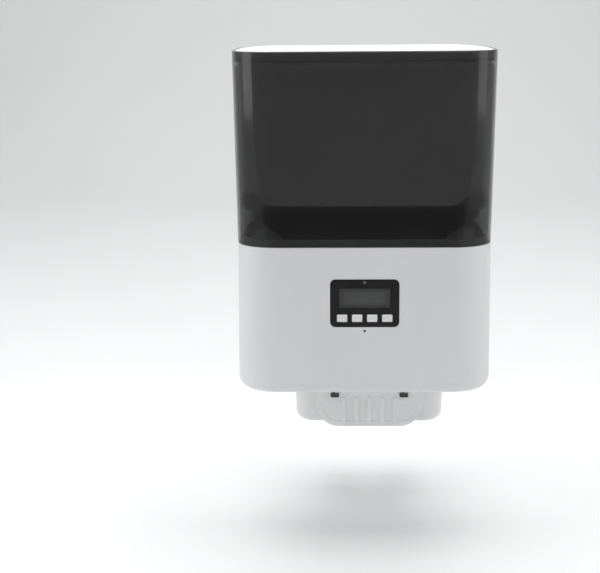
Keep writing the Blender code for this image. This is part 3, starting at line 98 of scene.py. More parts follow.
class Slot(Enum):
    """Material slots of the record."""

    SMOKY = "smoky_plastic"
    WHITE = "white_plastic"
    BUTTON = "button_plastic"
    CHUTE = "chute_plastic"
    FROSTED = "frosted_plastic"
    PANEL = "panel_gloss"
    WINDOW = "window_clear"
    GREY = "grey_plastic"
    SILICONE = "silicone"
    BOARD = "circuit_board"
    BLACK = "black_plastic"
    STEEL = "steel"
    BRONZE = "bronze"
    JACKET = "battery_jacket"


# ---- node tools --------------------------------------------------------------------------------------
def add_node(tree: bpy.types.NodeTree, kind: str, settings: dict | None = None,
             values: dict | None = None) -> bpy.types.Node:
    """Adds a node to a tree.

    Args:
        tree: The tree.
        kind: The node's type name.
        settings: Its properties, which are set first.
        values: Numbers, colours or links for its input sockets, by name or index.

    Returns:
        The node.
    """
    node = tree.nodes.new(kind)
    for key, value in (settings or {}).items():
        setattr(node, key, value)
    for key, value in (values or {}).items():
        source = value.socket if isinstance(value, Value) else value
        if isinstance(source, bpy.types.NodeSocket):
            tree.links.new(source, node.inputs[key])
        else:
            node.inputs[key].default_value = source
    return node


class Value:
    """A node socket that takes part in arithmetic: each operator adds one Math node."""

    def __init__(self, shader: "Shader", socket: bpy.types.NodeSocket) -> None:
        """Wraps one output socket of a shader's node."""
        self.shader = shader
        self.socket = socket

    def _math(self, operation: str, first: object, second: object) -> "Value":
        """Adds a Math node and returns its result."""
        node = self.shader.node("ShaderNodeMath", {"operation": operation}, {0: first, 1: second})
        return self.shader.out(node)

    def __add__(self, other: object) -> "Value":
        """Sum."""
        return self._math("ADD", self, other)

    def __radd__(self, other: object) -> "Value":
        """Sum, reflected."""
        return self._math("ADD", other, self)

    def __sub__(self, other: object) -> "Value":
        """Difference."""
        return self._math("SUBTRACT", self, other)

    def __rsub__(self, other: object) -> "Value":
        """Difference, reflected."""
        return self._math("SUBTRACT", other, self)

    def __mul__(self, other: object) -> "Value":
        """Product."""
        return self._math("MULTIPLY", self, other)

    def __rmul__(self, other: object) -> "Value":
        """Product, reflected."""
        return self._math("MULTIPLY", other, self)

    def above(self, other: object) -> "Value":
        """One where this is greater than the other, else zero."""
        return self._math("GREATER_THAN", self, other)


class Shader:
    """Builds one material from nodes."""

    def __init__(self, name: str) -> None:
        """Starts a material with only its output node."""
        self.material = bpy.data.materials.new(name)
        self.material.use_nodes = True
        self.tree = self.material.node_tree
        self.tree.nodes.clear()
        self.output = self.tree.nodes.new("ShaderNodeOutputMaterial")

    def node(self, kind: str, settings: dict | None = None, values: dict | None = None) -> bpy.types.Node:
        """Adds a node to the material: see add_node."""
        return add_node(self.tree, kind, settings, values)

    def out(self, node: bpy.types.Node, name: object = 0) -> Value:
        """One output of a node as a Value."""
        return Value(self, node.outputs[name])

    def place(self, scale: Point = (1, 1, 1), turn: Point = (0, 0, 0)) -> Value:
        """Object coordinates through a Mapping node.

        Args:
            scale: How densely a pattern repeats along each axis.
            turn: Rotation of the pattern, in radians.

        Returns:
            The coordinates.
        """
        coordinates = self.node("ShaderNodeTexCoord")
        mapping = self.node("ShaderNodeMapping", None, {
            "Vector": self.out(coordinates, "Object"), "Scale": scale, "Rotation": turn})
        return self.out(mapping)

    def noise(self, place: Value, scale: float, detail: float = 2.0, rough: float = 0.5) -> Value:
        """A smooth noise between 0 and 1.

        Args:
            place: Coordinates of the pattern.
            scale: Swells per metre.
            detail: Layers of finer noise.
            rough: Share of the finer layers.

        Returns:
            The noise.
        """
        node = self.node("ShaderNodeTexNoise", None, {
            "Vector": place, "Scale": scale, "Detail": detail, "Roughness": rough})
        return self.out(node, "Fac")

    def mix(self, share: Value, first: Sequence[float], second: Sequence[float]) -> Value:
        """A colour between two others.

        Args:
            share: Share of the second colour.
            first: Colour where the share is nought.
            second: Colour where the share is one.

        Returns:
            The mixed colour.
        """
        node = self.node("ShaderNodeMix", {"data_type": "RGBA"}, {
            "Factor": share, 6: (*first, 1.0), 7: (*second, 1.0)})
        return self.out(node, 2)

    def bump(self, height: Value, distance: float) -> Value:
        """A normal pushed about by a height field whose full swing is distance metres."""
        return self.out(self.node("ShaderNodeBump", None, {"Height": height, "Distance": distance,
                                                           "Strength": 1.0}))

    def surface(self, values: dict) -> bpy.types.Material:
        """Ends the material in a Principled BSDF.

        Args:
            values: Numbers, colours or links for the shader's inputs.

        Returns:
            The material.
        """
        shader = self.node("ShaderNodeBsdfPrincipled", None, values)
        self.tree.links.new(shader.outputs[0], self.output.inputs["Surface"])
        return self.material


def shaded(colour: Sequence[float], factor: float) -> tuple[float, ...]:
    """A colour made lighter or darker by a factor."""
    return tuple(min(channel * factor, 1.0) for channel in colour)


# ---- finishes ----------------------------------------------------------------------------------------
@dataclass(frozen=True)
class MouldedPlastic:
    """Opaque plastic from a spark-eroded mould: fine grain, faint flow shades and uneven gloss."""

    name: str
    colour: tuple[float, float, float]
    roughness: float = 0.42
    grain: float = 0.000010
    grain_scale: float = 2600.0
    flow: float = 0.025

    def material(self) -> bpy.types.Material:
        """Makes the material."""
        shader = Shader(self.name)
        place = shader.place()
        flow = shader.noise(shader.place((1, 1, 0.35)), 14.0, 3.0)
        grain = shader.noise(place, self.grain_scale, 3.0, 0.6)
        soft = shader.noise(place, 90.0, 2.0)
        colour = shader.mix(flow, shaded(self.colour, 1 - self.flow), shaded(self.colour, 1 + self.flow))
        return shader.surface({
            "Base Color": colour,
            "Roughness": soft * 0.10 + (self.roughness - 0.05),
            "Normal": shader.bump(grain, self.grain),
        })


@dataclass(frozen=True)
class SmokyPlastic:
    """Polished smoke-tinted plastic that lets a little light through each face."""

    name: str = "smoky_plastic"
    colour: tuple[float, float, float] = (0.012, 0.012, 0.013)
    opacity: float = 0.56
    roughness: float = 0.07

    def material(self) -> bpy.types.Material:
        """Makes the material."""
        shader = Shader(self.name)
        place = shader.place()
        waves = shader.noise(shader.place((1, 1, 0.5)), 22.0, 1.0)
        haze = shader.noise(place, 160.0, 4.0, 0.65)
        tint = shader.noise(place, 9.0, 2.0)
        colour = shader.mix(tint, shaded(self.colour, 0.9), shaded(self.colour, 1.15))
        return shader.surface({
            "Base Color": colour,
            "Roughness": haze * 0.06 + (self.roughness - 0.02),
            "Normal": shader.bump(waves, 0.00012),
            "Alpha": tint * 0.03 + self.opacity,
            "IOR": 1.49,
        })


@dataclass(frozen=True)
class FrostedPlastic:
    """Milky translucent plastic, denser where it is seen edge on."""

    name: str = "frosted_plastic"
    colour: tuple[float, float, float] = (0.80, 0.81, 0.81)
    face_opacity: float = 0.50
    edge_opacity: float = 0.92
    roughness: float = 0.34

    def material(self) -> bpy.types.Material:
        """Makes the material."""
        shader = Shader(self.name)
        place = shader.place()
        grain = shader.noise(place, 1500.0, 3.0, 0.6)
        cloud = shader.noise(place, 35.0, 3.0)
        facing = shader.node("ShaderNodeLayerWeight", None, {"Blend": 0.45})
        edge = shader.out(facing, "Facing")
        colour = shader.mix(cloud, shaded(self.colour, 0.97), shaded(self.colour, 1.03))
        opacity = edge * (self.edge_opacity - self.face_opacity) + self.face_opacity
        return shader.surface({
            "Base Color": colour,
            "Roughness": cloud * 0.12 + (self.roughness - 0.06),
            "Normal": shader.bump(grain, 0.000016),
            "Alpha": opacity,
        })


@dataclass(frozen=True)
class ClearPlastic:
    """Clear plastic with a grey tint and a polished face."""

    name: str
    colour: tuple[float, float, float]
    opacity: float
    roughness: float = 0.05

    def material(self) -> bpy.types.Material:
        """Makes the material."""
        shader = Shader(self.name)
        waves = shader.noise(shader.place(), 60.0, 1.0)
        smear = shader.noise(shader.place((1, 1, 3)), 120.0, 3.0)
        return shader.surface({
            "Base Color": shader.mix(smear, shaded(self.colour, 0.94), shaded(self.colour, 1.06)),
            "Roughness": smear * 0.05 + self.roughness,
            "Normal": shader.bump(waves, 0.00003),
            "Alpha": self.opacity,
        })


@dataclass(frozen=True)
class PolishedPanel:
    """Glossy black plastic with the faint orange peel of a polished mould and a few fine rub marks."""

    name: str = "panel_gloss"
    colour: tuple[float, float, float] = (0.009, 0.009, 0.010)
    roughness: float = 0.10

    def material(self) -> bpy.types.Material:
        """Makes the material."""
        shader = Shader(self.name)
        peel = shader.noise(shader.place(), 420.0, 2.0)
        rubs = shader.noise(shader.place((40, 40, 900), (0, 0.5, 0)), 1.0, 4.0, 0.7)
        return shader.surface({
            "Base Color": shader.mix(peel, shaded(self.colour, 0.9), shaded(self.colour, 1.2)),
            "Roughness": rubs * 0.08 + self.roughness,
            "Normal": shader.bump(peel, 0.000012),
            "Specular IOR Level": 0.20,
        })


@dataclass(frozen=True)
class LiquidCrystal:
    """A resting liquid-crystal face: grey-green, with a fine cell grid and a soft inner shade."""

    name: str = "liquid_crystal"
    colour: tuple[float, float, float] = (0.165, 0.168, 0.165)
    cell: float = 0.0006

    def material(self) -> bpy.types.Material:
        """Makes the material."""
        shader = Shader(self.name)
        turned = shader.place((1, 1, 1), (math.pi / 2, 0, 0))
        grid = shader.node("ShaderNodeTexBrick", {"offset": 0.0}, {
            "Vector": turned, "Scale": 1.0, "Brick Width": self.cell, "Row Height": self.cell,
            "Mortar Size": self.cell * 0.12, "Mortar Smooth": 0.4})
        cloud = shader.noise(shader.place(), 70.0, 2.0)
        lines = shader.out(grid, "Fac")
        share = lines * 0.35 + cloud * 0.5
        return shader.surface({
            "Base Color": shader.mix(share, shaded(self.colour, 1.06), shaded(self.colour, 0.80)),
            "Roughness": cloud * 0.10 + 0.35,
            "Normal": shader.bump(lines, 0.00001),
        })


@dataclass(frozen=True)
class BrushedMetal:
    """Metal with a drawn grain along one axis and tiny pits."""

    name: str
    colour: tuple[float, float, float]
    roughness: float = 0.30
    grain: tuple[float, float, float] = (40.0, 900.0, 900.0)
    pits: float = 0.0

    def material(self) -> bpy.types.Material:
        """Makes the material."""
        shader = Shader(self.name)
        lines = shader.noise(shader.place(self.grain), 1.0, 4.0, 0.65)
        stain = shader.noise(shader.place(), 120.0, 3.0)
        pores = shader.node("ShaderNodeTexVoronoi", None, {"Vector": shader.place(), "Scale": 2400.0})
        depth = lines * 0.5 + shader.out(pores, "Distance") * self.pits
        return shader.surface({
            "Base Color": shader.mix(stain, shaded(self.colour, 0.86), shaded(self.colour, 1.08)),
            "Metallic": 1.0,
            "Roughness": lines * 0.16 + (self.roughness - 0.08),
            "Normal": shader.bump(depth, 0.00001),
        })


@dataclass(frozen=True)
class SoftSilicone:
    """Soft pale silicone: matt, slightly dusty, with a skin grain."""

    name: str = "silicone"
    colour: tuple[float, float, float] = (0.60, 0.61, 0.61)

    def material(self) -> bpy.types.Material:
        """Makes the material."""
        shader = Shader(self.name)
        skin = shader.noise(shader.place(), 1100.0, 3.0, 0.6)
        dust = shader.noise(shader.place(), 60.0, 4.0, 0.6)
        return shader.surface({
            "Base Color": shader.mix(dust, shaded(self.colour, 0.92), shaded(self.colour, 1.06)),
            "Roughness": dust * 0.12 + 0.52,
            "Normal": shader.bump(skin, 0.00002),
            "Sheen Weight": 0.15,
        })


@dataclass(frozen=True)
class SolderMask:
    """Green solder mask over copper tracks that stand a hair proud."""

    name: str = "circuit_board"
    colour: tuple[float, float, float] = (0.012, 0.105, 0.040)
    track: float = 0.0016

    def material(self) -> bpy.types.Material:
        """Makes the material."""
        shader = Shader(self.name)
        turned = shader.place((1, 1, 1), (math.pi / 2, 0, 0))
        tracks = shader.node("ShaderNodeTexBrick", {"offset": 0.35, "offset_frequency": 3}, {
            "Vector": turned, "Scale": 1.0, "Brick Width": self.track * 5, "Row Height": self.track,
            "Mortar Size": self.track * 0.18, "Mortar Smooth": 0.1})
        lines = shader.out(tracks, "Fac")
        weave = shader.noise(shader.place(), 800.0, 2.0)
        return shader.surface({
            "Base Color": shader.mix(lines, self.colour, shaded(self.colour, 1.9)),
            "Roughness": weave * 0.08 + 0.30,
            "Normal": shader.bump(lines, 0.00003),
            "Coat Weight": 0.3,
        })


@dataclass(frozen=True)
class CellJacket:
    """The printed-film jacket of a cell: dark, with a paler band near its end and fine rubs."""

    name: str = "battery_jacket"
    dark: tuple[float, float, float] = (0.035, 0.036, 0.040)
    band: tuple[float, float, float] = (0.50, 0.36, 0.16)
    band_low: float = -0.0965
    band_high: float = -0.0860

    def material(self) -> bpy.types.Material:
        """Makes the material."""
        shader = Shader(self.name)
        split = shader.node("ShaderNodeSeparateXYZ", None, {"Vector": shader.place()})
        along = shader.out(split, "Y")
        inside = along.above(self.band_low) - along.above(self.band_high)
        rubs = shader.noise(shader.place((900, 30, 900)), 1.0, 3.0)
        return shader.surface({
            "Base Color": shader.mix(inside, self.dark, self.band),
            "Roughness": rubs * 0.15 + 0.22,
            "Normal": shader.bump(rubs, 0.000008),
            "Coat Weight": 0.4,
        })


@dataclass
class Finishes:
    """Every material of the feeder, each made once."""

    white: bpy.types.Material = field(init=False)
    lid_white: bpy.types.Material = field(init=False)
    button: bpy.types.Material = field(init=False)
    chute: bpy.types.Material = field(init=False)
    smoky: bpy.types.Material = field(init=False)
    frosted: bpy.types.Material = field(init=False)
    bracket: bpy.types.Material = field(init=False)
    panel: bpy.types.Material = field(init=False)
    window: bpy.types.Material = field(init=False)
    crystal: bpy.types.Material = field(init=False)
    bezel: bpy.types.Material = field(init=False)
    grey: bpy.types.Material = field(init=False)
    silicone: bpy.types.Material = field(init=False)
    board: bpy.types.Material = field(init=False)
    black: bpy.types.Material = field(init=False)
    steel: bpy.types.Material = field(init=False)
    bronze: bpy.types.Material = field(init=False)
    jacket: bpy.types.Material = field(init=False)

    def __post_init__(self) -> None:
        """Makes the materials."""
        self.white = MouldedPlastic("white_plastic", (0.70, 0.70, 0.705)).material()
        self.lid_white = MouldedPlastic("lid_plastic", (0.80, 0.80, 0.80), 0.36).material()
        self.button = MouldedPlastic("button_plastic", (0.73, 0.73, 0.73), 0.30, 0.000004).material()
        self.chute = MouldedPlastic("chute_plastic", (0.68, 0.68, 0.68), 0.34, 0.000006).material()
        self.smoky = SmokyPlastic().material()
        self.frosted = FrostedPlastic().material()
        self.bracket = FrostedPlastic("bracket_plastic", (0.90, 0.905, 0.905), 0.90, 0.98).material()
        self.panel = PolishedPanel().material()
        self.window = ClearPlastic("window_clear", (0.030, 0.031, 0.030), 0.25).material()
        self.crystal = LiquidCrystal().material()
        self.bezel = MouldedPlastic("display_bezel", (0.100, 0.101, 0.100), 0.50).material()
        self.grey = MouldedPlastic("grey_plastic", (0.30, 0.305, 0.31), 0.48).material()
        self.silicone = SoftSilicone().material()
        self.board = SolderMask().material()
        self.black = MouldedPlastic("black_plastic", (0.022, 0.022, 0.023), 0.40).material()
        self.steel = BrushedMetal("steel", (0.60, 0.60, 0.61)).material()
        self.bronze = BrushedMetal("bronze", (0.50, 0.34, 0.17), 0.42, pits=0.6).material()
        self.jacket = CellJacket().material()


# ---- mesh tools --------------------------------------------------------------------------------------
@dataclass(frozen=True)
class Extent:
    """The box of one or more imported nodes."""

    low: Vector
    high: Vector

    @classmethod
    def of(cls, *nodes: str) -> "Extent":
        """The box round the named nodes."""
        boxes = [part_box(node) for node in nodes]
        low = Vector(min(box[0][i] for box in boxes) for i in range(3))
        high = Vector(max(box[1][i] for box in boxes) for i in range(3))
        return cls(low, high)

    @property
    def centre(self) -> Vector:
        """Middle of the box."""
        return (self.low + self.high) / 2

    @property
    def size(self) -> Vector:
        """Lengths of the box's sides."""
        return self.high - self.low


def rounded_outline(low: Flat, high: Flat, radius: float, steps: int = 10, ease: float = 0.0) -> list[Flat]:
    """Counter-clockwise points of a rectangle with rounded corners.

    Args:
        low: Lowest corner.
        high: Highest corner.
        radius: Corner radius.
        steps: Divisions of each corner's arc.
        ease: Distance of an extra point beside each end of an arc, which keeps the flat sides flat.

    Returns:
        The points.
    """
    radius = max(radius, SMALLEST_RADIUS)
    points: list[Flat] = []
    corners = ((high[0] - radius, high[1] - radius), (low[0] + radius, high[1] - radius),
               (low[0] + radius, low[1] + radius), (high[0] - radius, low[1] + radius))
    for quarter, (u, v) in enumerate(corners):
        start = math.pi / 2 * quarter
        along = Vector((math.sin(start), -math.cos(start)))
        arc = [(u + radius * math.cos(start + math.pi / 2 * step / steps),
                v + radius * math.sin(start + math.pi / 2 * step / steps)) for step in range(steps + 1)]
        if ease:
            points.append((arc[0][0] + along.x * ease, arc[0][1] + along.y * ease))
        points += arc
        if ease:
            away = Vector((-math.cos(start), -math.sin(start)))
            points.append((arc[-1][0] + away.x * ease, arc[-1][1] + away.y * ease))
    return points


def circle(u: float, v: float, radius: float, segments: int) -> list[Flat]:
    """Counter-clockwise points of a circle round (u, v)."""
    step = 2 * math.pi / segments
    return [(u + radius * math.cos(step * i), v + radius * math.sin(step * i)) for i in range(segments)]


def lerp_ring(first: Ring, second: Ring, share: float) -> Ring:
    """The ring this share of the way between two others."""
    return [tuple(a + (b - a) * share for a, b in zip(p, q)) for p, q in zip(first, second)]


def ring_gap(first: Ring, second: Ring) -> float:
    """Mean distance between the points of two rings."""
    return sum(math.dist(p, q) for p, q in zip(first, second)) / len(first)


def rounded_stack(keys: Sequence[tuple[Ring, float]], steps: int = 3, looped: bool = False) -> list[Ring]:
    """Rings through the keys, each turn rounded.

    Args:
        keys: A ring and the length of its rounding, for each turn of the section.
        steps: Divisions of each rounding.
        looped: Whether the last ring joins the first.

    Returns:
        The rings.
    """
    rings: list[Ring] = []
    count = len(keys)
    for index, (ring, size) in enumerate(keys):
        open_end = not looped and index in (0, count - 1)
        if open_end or size <= 0:
            rings.append(ring)
            continue
        before = keys[index - 1][0]
        after = keys[(index + 1) % count][0]
        start = lerp_ring(ring, before, min(LARGEST_SHARE, size / max(ring_gap(ring, before), 1e-9)))
        end = lerp_ring(ring, after, min(LARGEST_SHARE, size / max(ring_gap(ring, after), 1e-9)))
        for step in range(steps + 1):
            share = step / steps
            near = lerp_ring(start, ring, share)
            far = lerp_ring(ring, end, share)
            rings.append(lerp_ring(near, far, share))
    return rings


def as_object(name: str, mesh: bpy.types.Mesh) -> bpy.types.Object:
    """Links a mesh to the scene as an object at the origin."""
    obj = bpy.data.objects.new(name, mesh)
    bpy.context.scene.collection.objects.link(obj)
    return obj


def loft(name: str, rings: Sequence[Ring], looped: bool = False) -> bpy.types.Object:
    """Joins rings with bands of faces, with outward normals.

    Args:
        name: Name of the object.
        rings: Rings of as many points each.
        looped: Whether the last ring joins the first. If not, both ends are closed with a face.

    Returns:
        The closed solid.
    """
    bm = bmesh.new()
    rows = [[bm.verts.new(point) for point in ring] for ring in rings]
    pairs = list(zip(rows, rows[1:]))
    if looped:
        pairs.append((rows[-1], rows[0]))
    for low, high in pairs:
        for i, corner in enumerate(low):
            j = (i + 1) % len(low)
            bm.faces.new((corner, low[j], high[j], high[i]))
    if not looped:
        bm.faces.new(rows[0])
        bm.faces.new(rows[-1])
    bmesh.ops.recalc_face_normals(bm, faces=bm.faces)
    mesh = bpy.data.meshes.new(name)
    bm.to_mesh(mesh)
    bm.free()
    return as_object(name, mesh)


def block(name: str, low: Flat, high: Flat, radius: float, axis: Axis, ends: Flat, edge: float = 0.0003,
          steps: int = 6) -> bpy.types.Object:
    """A rounded plate across an axis, with rounded edges on both faces.

    Args:
        name: Name of the object.
        low: Lowest corner across the axis.
        high: Highest corner across the axis.
        radius: Corner radius.
        axis: The axis.
        ends: The two ends along the axis.
        edge: Rounding of the edges of both faces.
        steps: Divisions of each corner's arc.

    Returns:
        The plate.
    """
    def ring(inset: float, along: float) -> Ring:
        """The plate's outline at one place along the axis."""
        outline = rounded_outline((low[0] + inset, low[1] + inset), (high[0] - inset, high[1] - inset),
                                  radius - inset, steps)
        return [axis.place(u, v, along) for u, v in outline]

    start, end = min(ends), max(ends)
    keys = [(ring(3 * edge, start), 0.0), (ring(0, start), edge), (ring(0, end), edge),
            (ring(3 * edge, end), 0.0)]
    return loft(name, rounded_stack(keys))


def turned(name: str, axis: Axis, centre: Flat, profile: Sequence[tuple[float, float, float]],
           segments: int = 32) -> bpy.types.Object:
    """A solid of revolution.

    Args:
        name: Name of the object.
        axis: Axis that it turns about.
        centre: Place of that axis, across it.
        profile: Distance along the axis, radius and rounding of each turn of the section.
        segments: Divisions of the circle.

    Returns:
        The solid.
    """
    keys = [([axis.place(a, b, along) for a, b in circle(*centre, radius, segments)], size)
            for along, radius, size in profile]
    return loft(name, rounded_stack(keys))


def combine(obj: bpy.types.Object, operation: str, others: Sequence[bpy.types.Object]) -> bpy.types.Object:
    """Applies Booleans to an object and removes the shapes that it used.

    Args:
        obj: The object to change.
        operation: The Boolean operation.
        others: The shapes to use.

    Returns:
        The object.
    """
    for other in others:
        modifier = obj.modifiers.new(operation.lower(), "BOOLEAN")
        modifier.operation = operation
        modifier.object = other
    plain(obj)
    for other in others:
        bpy.data.objects.remove(other, do_unlink=True)
    return obj


def cut(obj: bpy.types.Object, *others: bpy.types.Object) -> bpy.types.Object:
    """Takes the other shapes out of an object."""
    return combine(obj, "DIFFERENCE", others)


def fuse(obj: bpy.types.Object, *others: bpy.types.Object) -> bpy.types.Object:
    """Joins the other shapes to an object."""
    return combine(obj, "UNION", others)


def plain(obj: bpy.types.Object) -> bpy.types.Object:
    """Replaces an object's mesh by the result of its modifiers, and removes them.

    Args:
        obj: The object.

    Returns:
        The same object.
    """
    graph = bpy.context.evaluated_depsgraph_get()
    graph.update()
    mesh = bpy.data.meshes.new_from_object(obj.evaluated_get(graph), depsgraph=graph)
    obj.modifiers.clear()
    obj.data = mesh
    return obj


def smoothed(obj: bpy.types.Object) -> bpy.types.Object:
    """Gives an object smooth shading that keeps hard edges hard and flat faces flat.

    Args:
        obj: The object.

    Returns:
        The same object.
    """
    obj.data.shade_smooth()
    obj.data.set_sharp_from_angle(angle=SHARP_ANGLE)
    modifier = obj.modifiers.new("flat_faces", "WEIGHTED_NORMAL")
    modifier.keep_sharp = True
    return plain(obj)


def cleaned(mesh: bpy.types.Mesh, name: str, flat: float) -> bpy.types.Mesh:
    """A copy of a mesh with its doubles merged and its flat faces whole.

    Args:
        mesh: The mesh to copy.
        name: Name of the copy.
        flat: Faces that meet at less than this angle become one.

    Returns:
        The copy.
    """
    bm = bmesh.new()
    bm.from_mesh(mesh)
    bmesh.ops.remove_doubles(bm, verts=bm.verts, dist=MERGE_DISTANCE)
    bmesh.ops.dissolve_limit(bm, angle_limit=flat, verts=bm.verts, edges=bm.edges)
    made = bpy.data.meshes.new(name)
    bm.to_mesh(made)
    bm.free()
    return made


def bevelled(obj: bpy.types.Object, width: float, segments: int, angle: float) -> bpy.types.Object:
    """Rounds an object's edges.

    Args:
        obj: The object.
        width: Width of the rounding.
        segments: Divisions of the rounding.
        angle: Edges sharper than this are rounded.

    Returns:
        The same object.
    """
    modifier = obj.modifiers.new("edges", "BEVEL")
    modifier.width = width
    modifier.segments = segments
    modifier.limit_method = "ANGLE"
    modifier.angle_limit = angle
    return plain(obj)


def softened(node: str, edge: float, segments: int = 2) -> bpy.types.Object:
    """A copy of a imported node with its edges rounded.

    Args:
        node: The node.
        edge: Width of the rounding, or nought to leave the edges as they are.
        segments: Divisions of the rounding.

    Returns:
        The copy.
    """
    obj = as_object(f"{node}_finished", cleaned(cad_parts[node].data, node, NODE_FLAT))
    return bevelled(obj, edge, segments, NODE_SHARP) if edge else obj


def prism(name: str, outline: Sequence[Flat], axis: Axis, ends: Flat) -> bpy.types.Object:
    """An outline pushed along an axis."""
    return loft(name, [[axis.place(u, v, w) for u, v in outline] for w in (min(ends), max(ends))])


def joined(name: str, parts: Sequence[bpy.types.Object]) -> bpy.types.Object:
    """Puts the meshes of several objects in one, side by side.

    Args:
        name: Name of the result.
        parts: The objects, which are used up.

    Returns:
        The one object.
    """
    bm = bmesh.new()
    for part in parts:
        bm.from_mesh(part.data)
        bpy.data.objects.remove(part, do_unlink=True)
    mesh = bpy.data.meshes.new(name)
    bm.to_mesh(mesh)
    bm.free()
    return as_object(name, mesh)


def dress(obj: bpy.types.Object, body: Body | str, finish: bpy.types.Material,
          replaces: Sequence[str] = ()) -> bpy.types.Object:
    """Shades a finished piece, gives it its material and ties it to the model.

    Args:
        obj: The piece, in place.
        body: The body that it rides on.
        finish: Its material.
        replaces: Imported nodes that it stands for.

    Returns:
        The piece.
    """
    smoothed(obj)
    obj.data.materials.clear()
    obj.data.materials.append(finish)
    for polygon in obj.data.polygons:
        polygon.material_index = 0
    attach(obj, body.value if isinstance(body, Body) else body)
    if replaces:
        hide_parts(*replaces)
    return obj


# ---- geometry nodes ----------------------------------------------------------------------------------
class GeometryTree:
    """A geometry node tree with named inputs that ends in Realize Instances and Set Material."""

    def __init__(self, name: str, inputs: dict[str, str]) -> None:
        """Starts the tree.

        Args:
            name: Name of the tree.
            inputs: Socket type of each named input.
        """
        self.tree = bpy.data.node_groups.new(name, "GeometryNodeTree")
        self.tree.interface.new_socket("Geometry", in_out="OUTPUT", socket_type="NodeSocketGeometry")
        self.identifiers: dict[str, str] = {}
        for key, kind in {**inputs, "Finish": "NodeSocketMaterial"}.items():
            item = self.tree.interface.new_socket(key, in_out="INPUT", socket_type=kind)
            self.identifiers[key] = item.identifier
        self.source = self.tree.nodes.new("NodeGroupInput")

    def input(self, name: str) -> bpy.types.NodeSocket:
        """The socket of a named input."""
        return self.source.outputs[name]

    def node(self, kind: str, settings: dict | None = None, values: dict | None = None) -> bpy.types.Node:
        """Adds a node to the tree: see add_node."""
        return add_node(self.tree, kind, settings, values)

    def close(self, geometry: bpy.types.NodeSocket) -> None:
        """Ends the tree: copies become real, and take the finish.

        Args:
            geometry: The socket that holds the shape.
        """
        real = self.node("GeometryNodeRealizeInstances", None, {"Geometry": geometry})
        painted = self.node("GeometryNodeSetMaterial", None, {
            "Geometry": real.outputs[0], "Material": self.input("Finish")})
        end = self.tree.nodes.new("NodeGroupOutput")
        self.tree.links.new(painted.outputs[0], end.inputs["Geometry"])

    def run(self, name: str, values: dict) -> bpy.types.Object:
        """Makes a plain object with the tree's result.

        Args:
            name: Name of the object.
            values: A value for each named input that is set.

        Returns:
            The object.
        """
        obj = as_object(name, bpy.data.meshes.new(name))
        modifier = obj.modifiers.new(name, "NODES")
        modifier.node_group = self.tree
        for key, value in values.items():
            modifier[self.identifiers[key]] = value
        return plain(obj)


class Copies:
    """Sets copies of a shape along a line, or round an axis, or both."""

    def __init__(self) -> None:
        """Builds the tree."""
        tree = GeometryTree("copies", {
            "Piece": "NodeSocketObject", "Count": "NodeSocketInt", "Start": "NodeSocketVector",
            "Step": "NodeSocketVector", "Axis": "NodeSocketVector", "Turn": "NodeSocketFloat"})
        line = tree.node("GeometryNodeMeshLine", {"mode": "OFFSET"}, {
            "Count": tree.input("Count"), "Start Location": tree.input("Start"),
            "Offset": tree.input("Step")})
        index = tree.node("GeometryNodeInputIndex")
        angle = tree.node("ShaderNodeMath", {"operation": "MULTIPLY"}, {
            0: index.outputs[0], 1: tree.input("Turn")})
        turn = tree.node("FunctionNodeAxisAngleToRotation", None, {
            "Axis": tree.input("Axis"), "Angle": angle.outputs[0]})
        piece = tree.node("GeometryNodeObjectInfo", None, {"Object": tree.input("Piece")})
        placed = tree.node("GeometryNodeInstanceOnPoints", None, {
            "Points": line.outputs[0], "Instance": piece.outputs["Geometry"],
            "Rotation": turn.outputs[0]})
        tree.close(placed.outputs[0])
        self.tree = tree

    def make(self, name: str, piece: bpy.types.Object, count: int, start: Point, step: Point = (0, 0, 0),
             axis: Point = (0, 0, 1), turn: float = 0.0) -> bpy.types.Object:
        """Copies of a piece whose origin is the centre of each copy.

        Args:
            name: Name of the result.
            piece: The shape to copy, which is used up.
            count: Number of copies.
            start: Place of the first copy's origin.
            step: Shift from each copy to the next.
            axis: Axis that the copies turn about.
            turn: Turn from each copy to the next, in radians.

        Returns:
            One plain object.
        """
        made = self.tree.run(name, {"Piece": piece, "Count": count, "Start": start, "Step": step,
                                    "Axis": axis, "Turn": turn})
        bpy.data.objects.remove(piece, do_unlink=True)
        return made


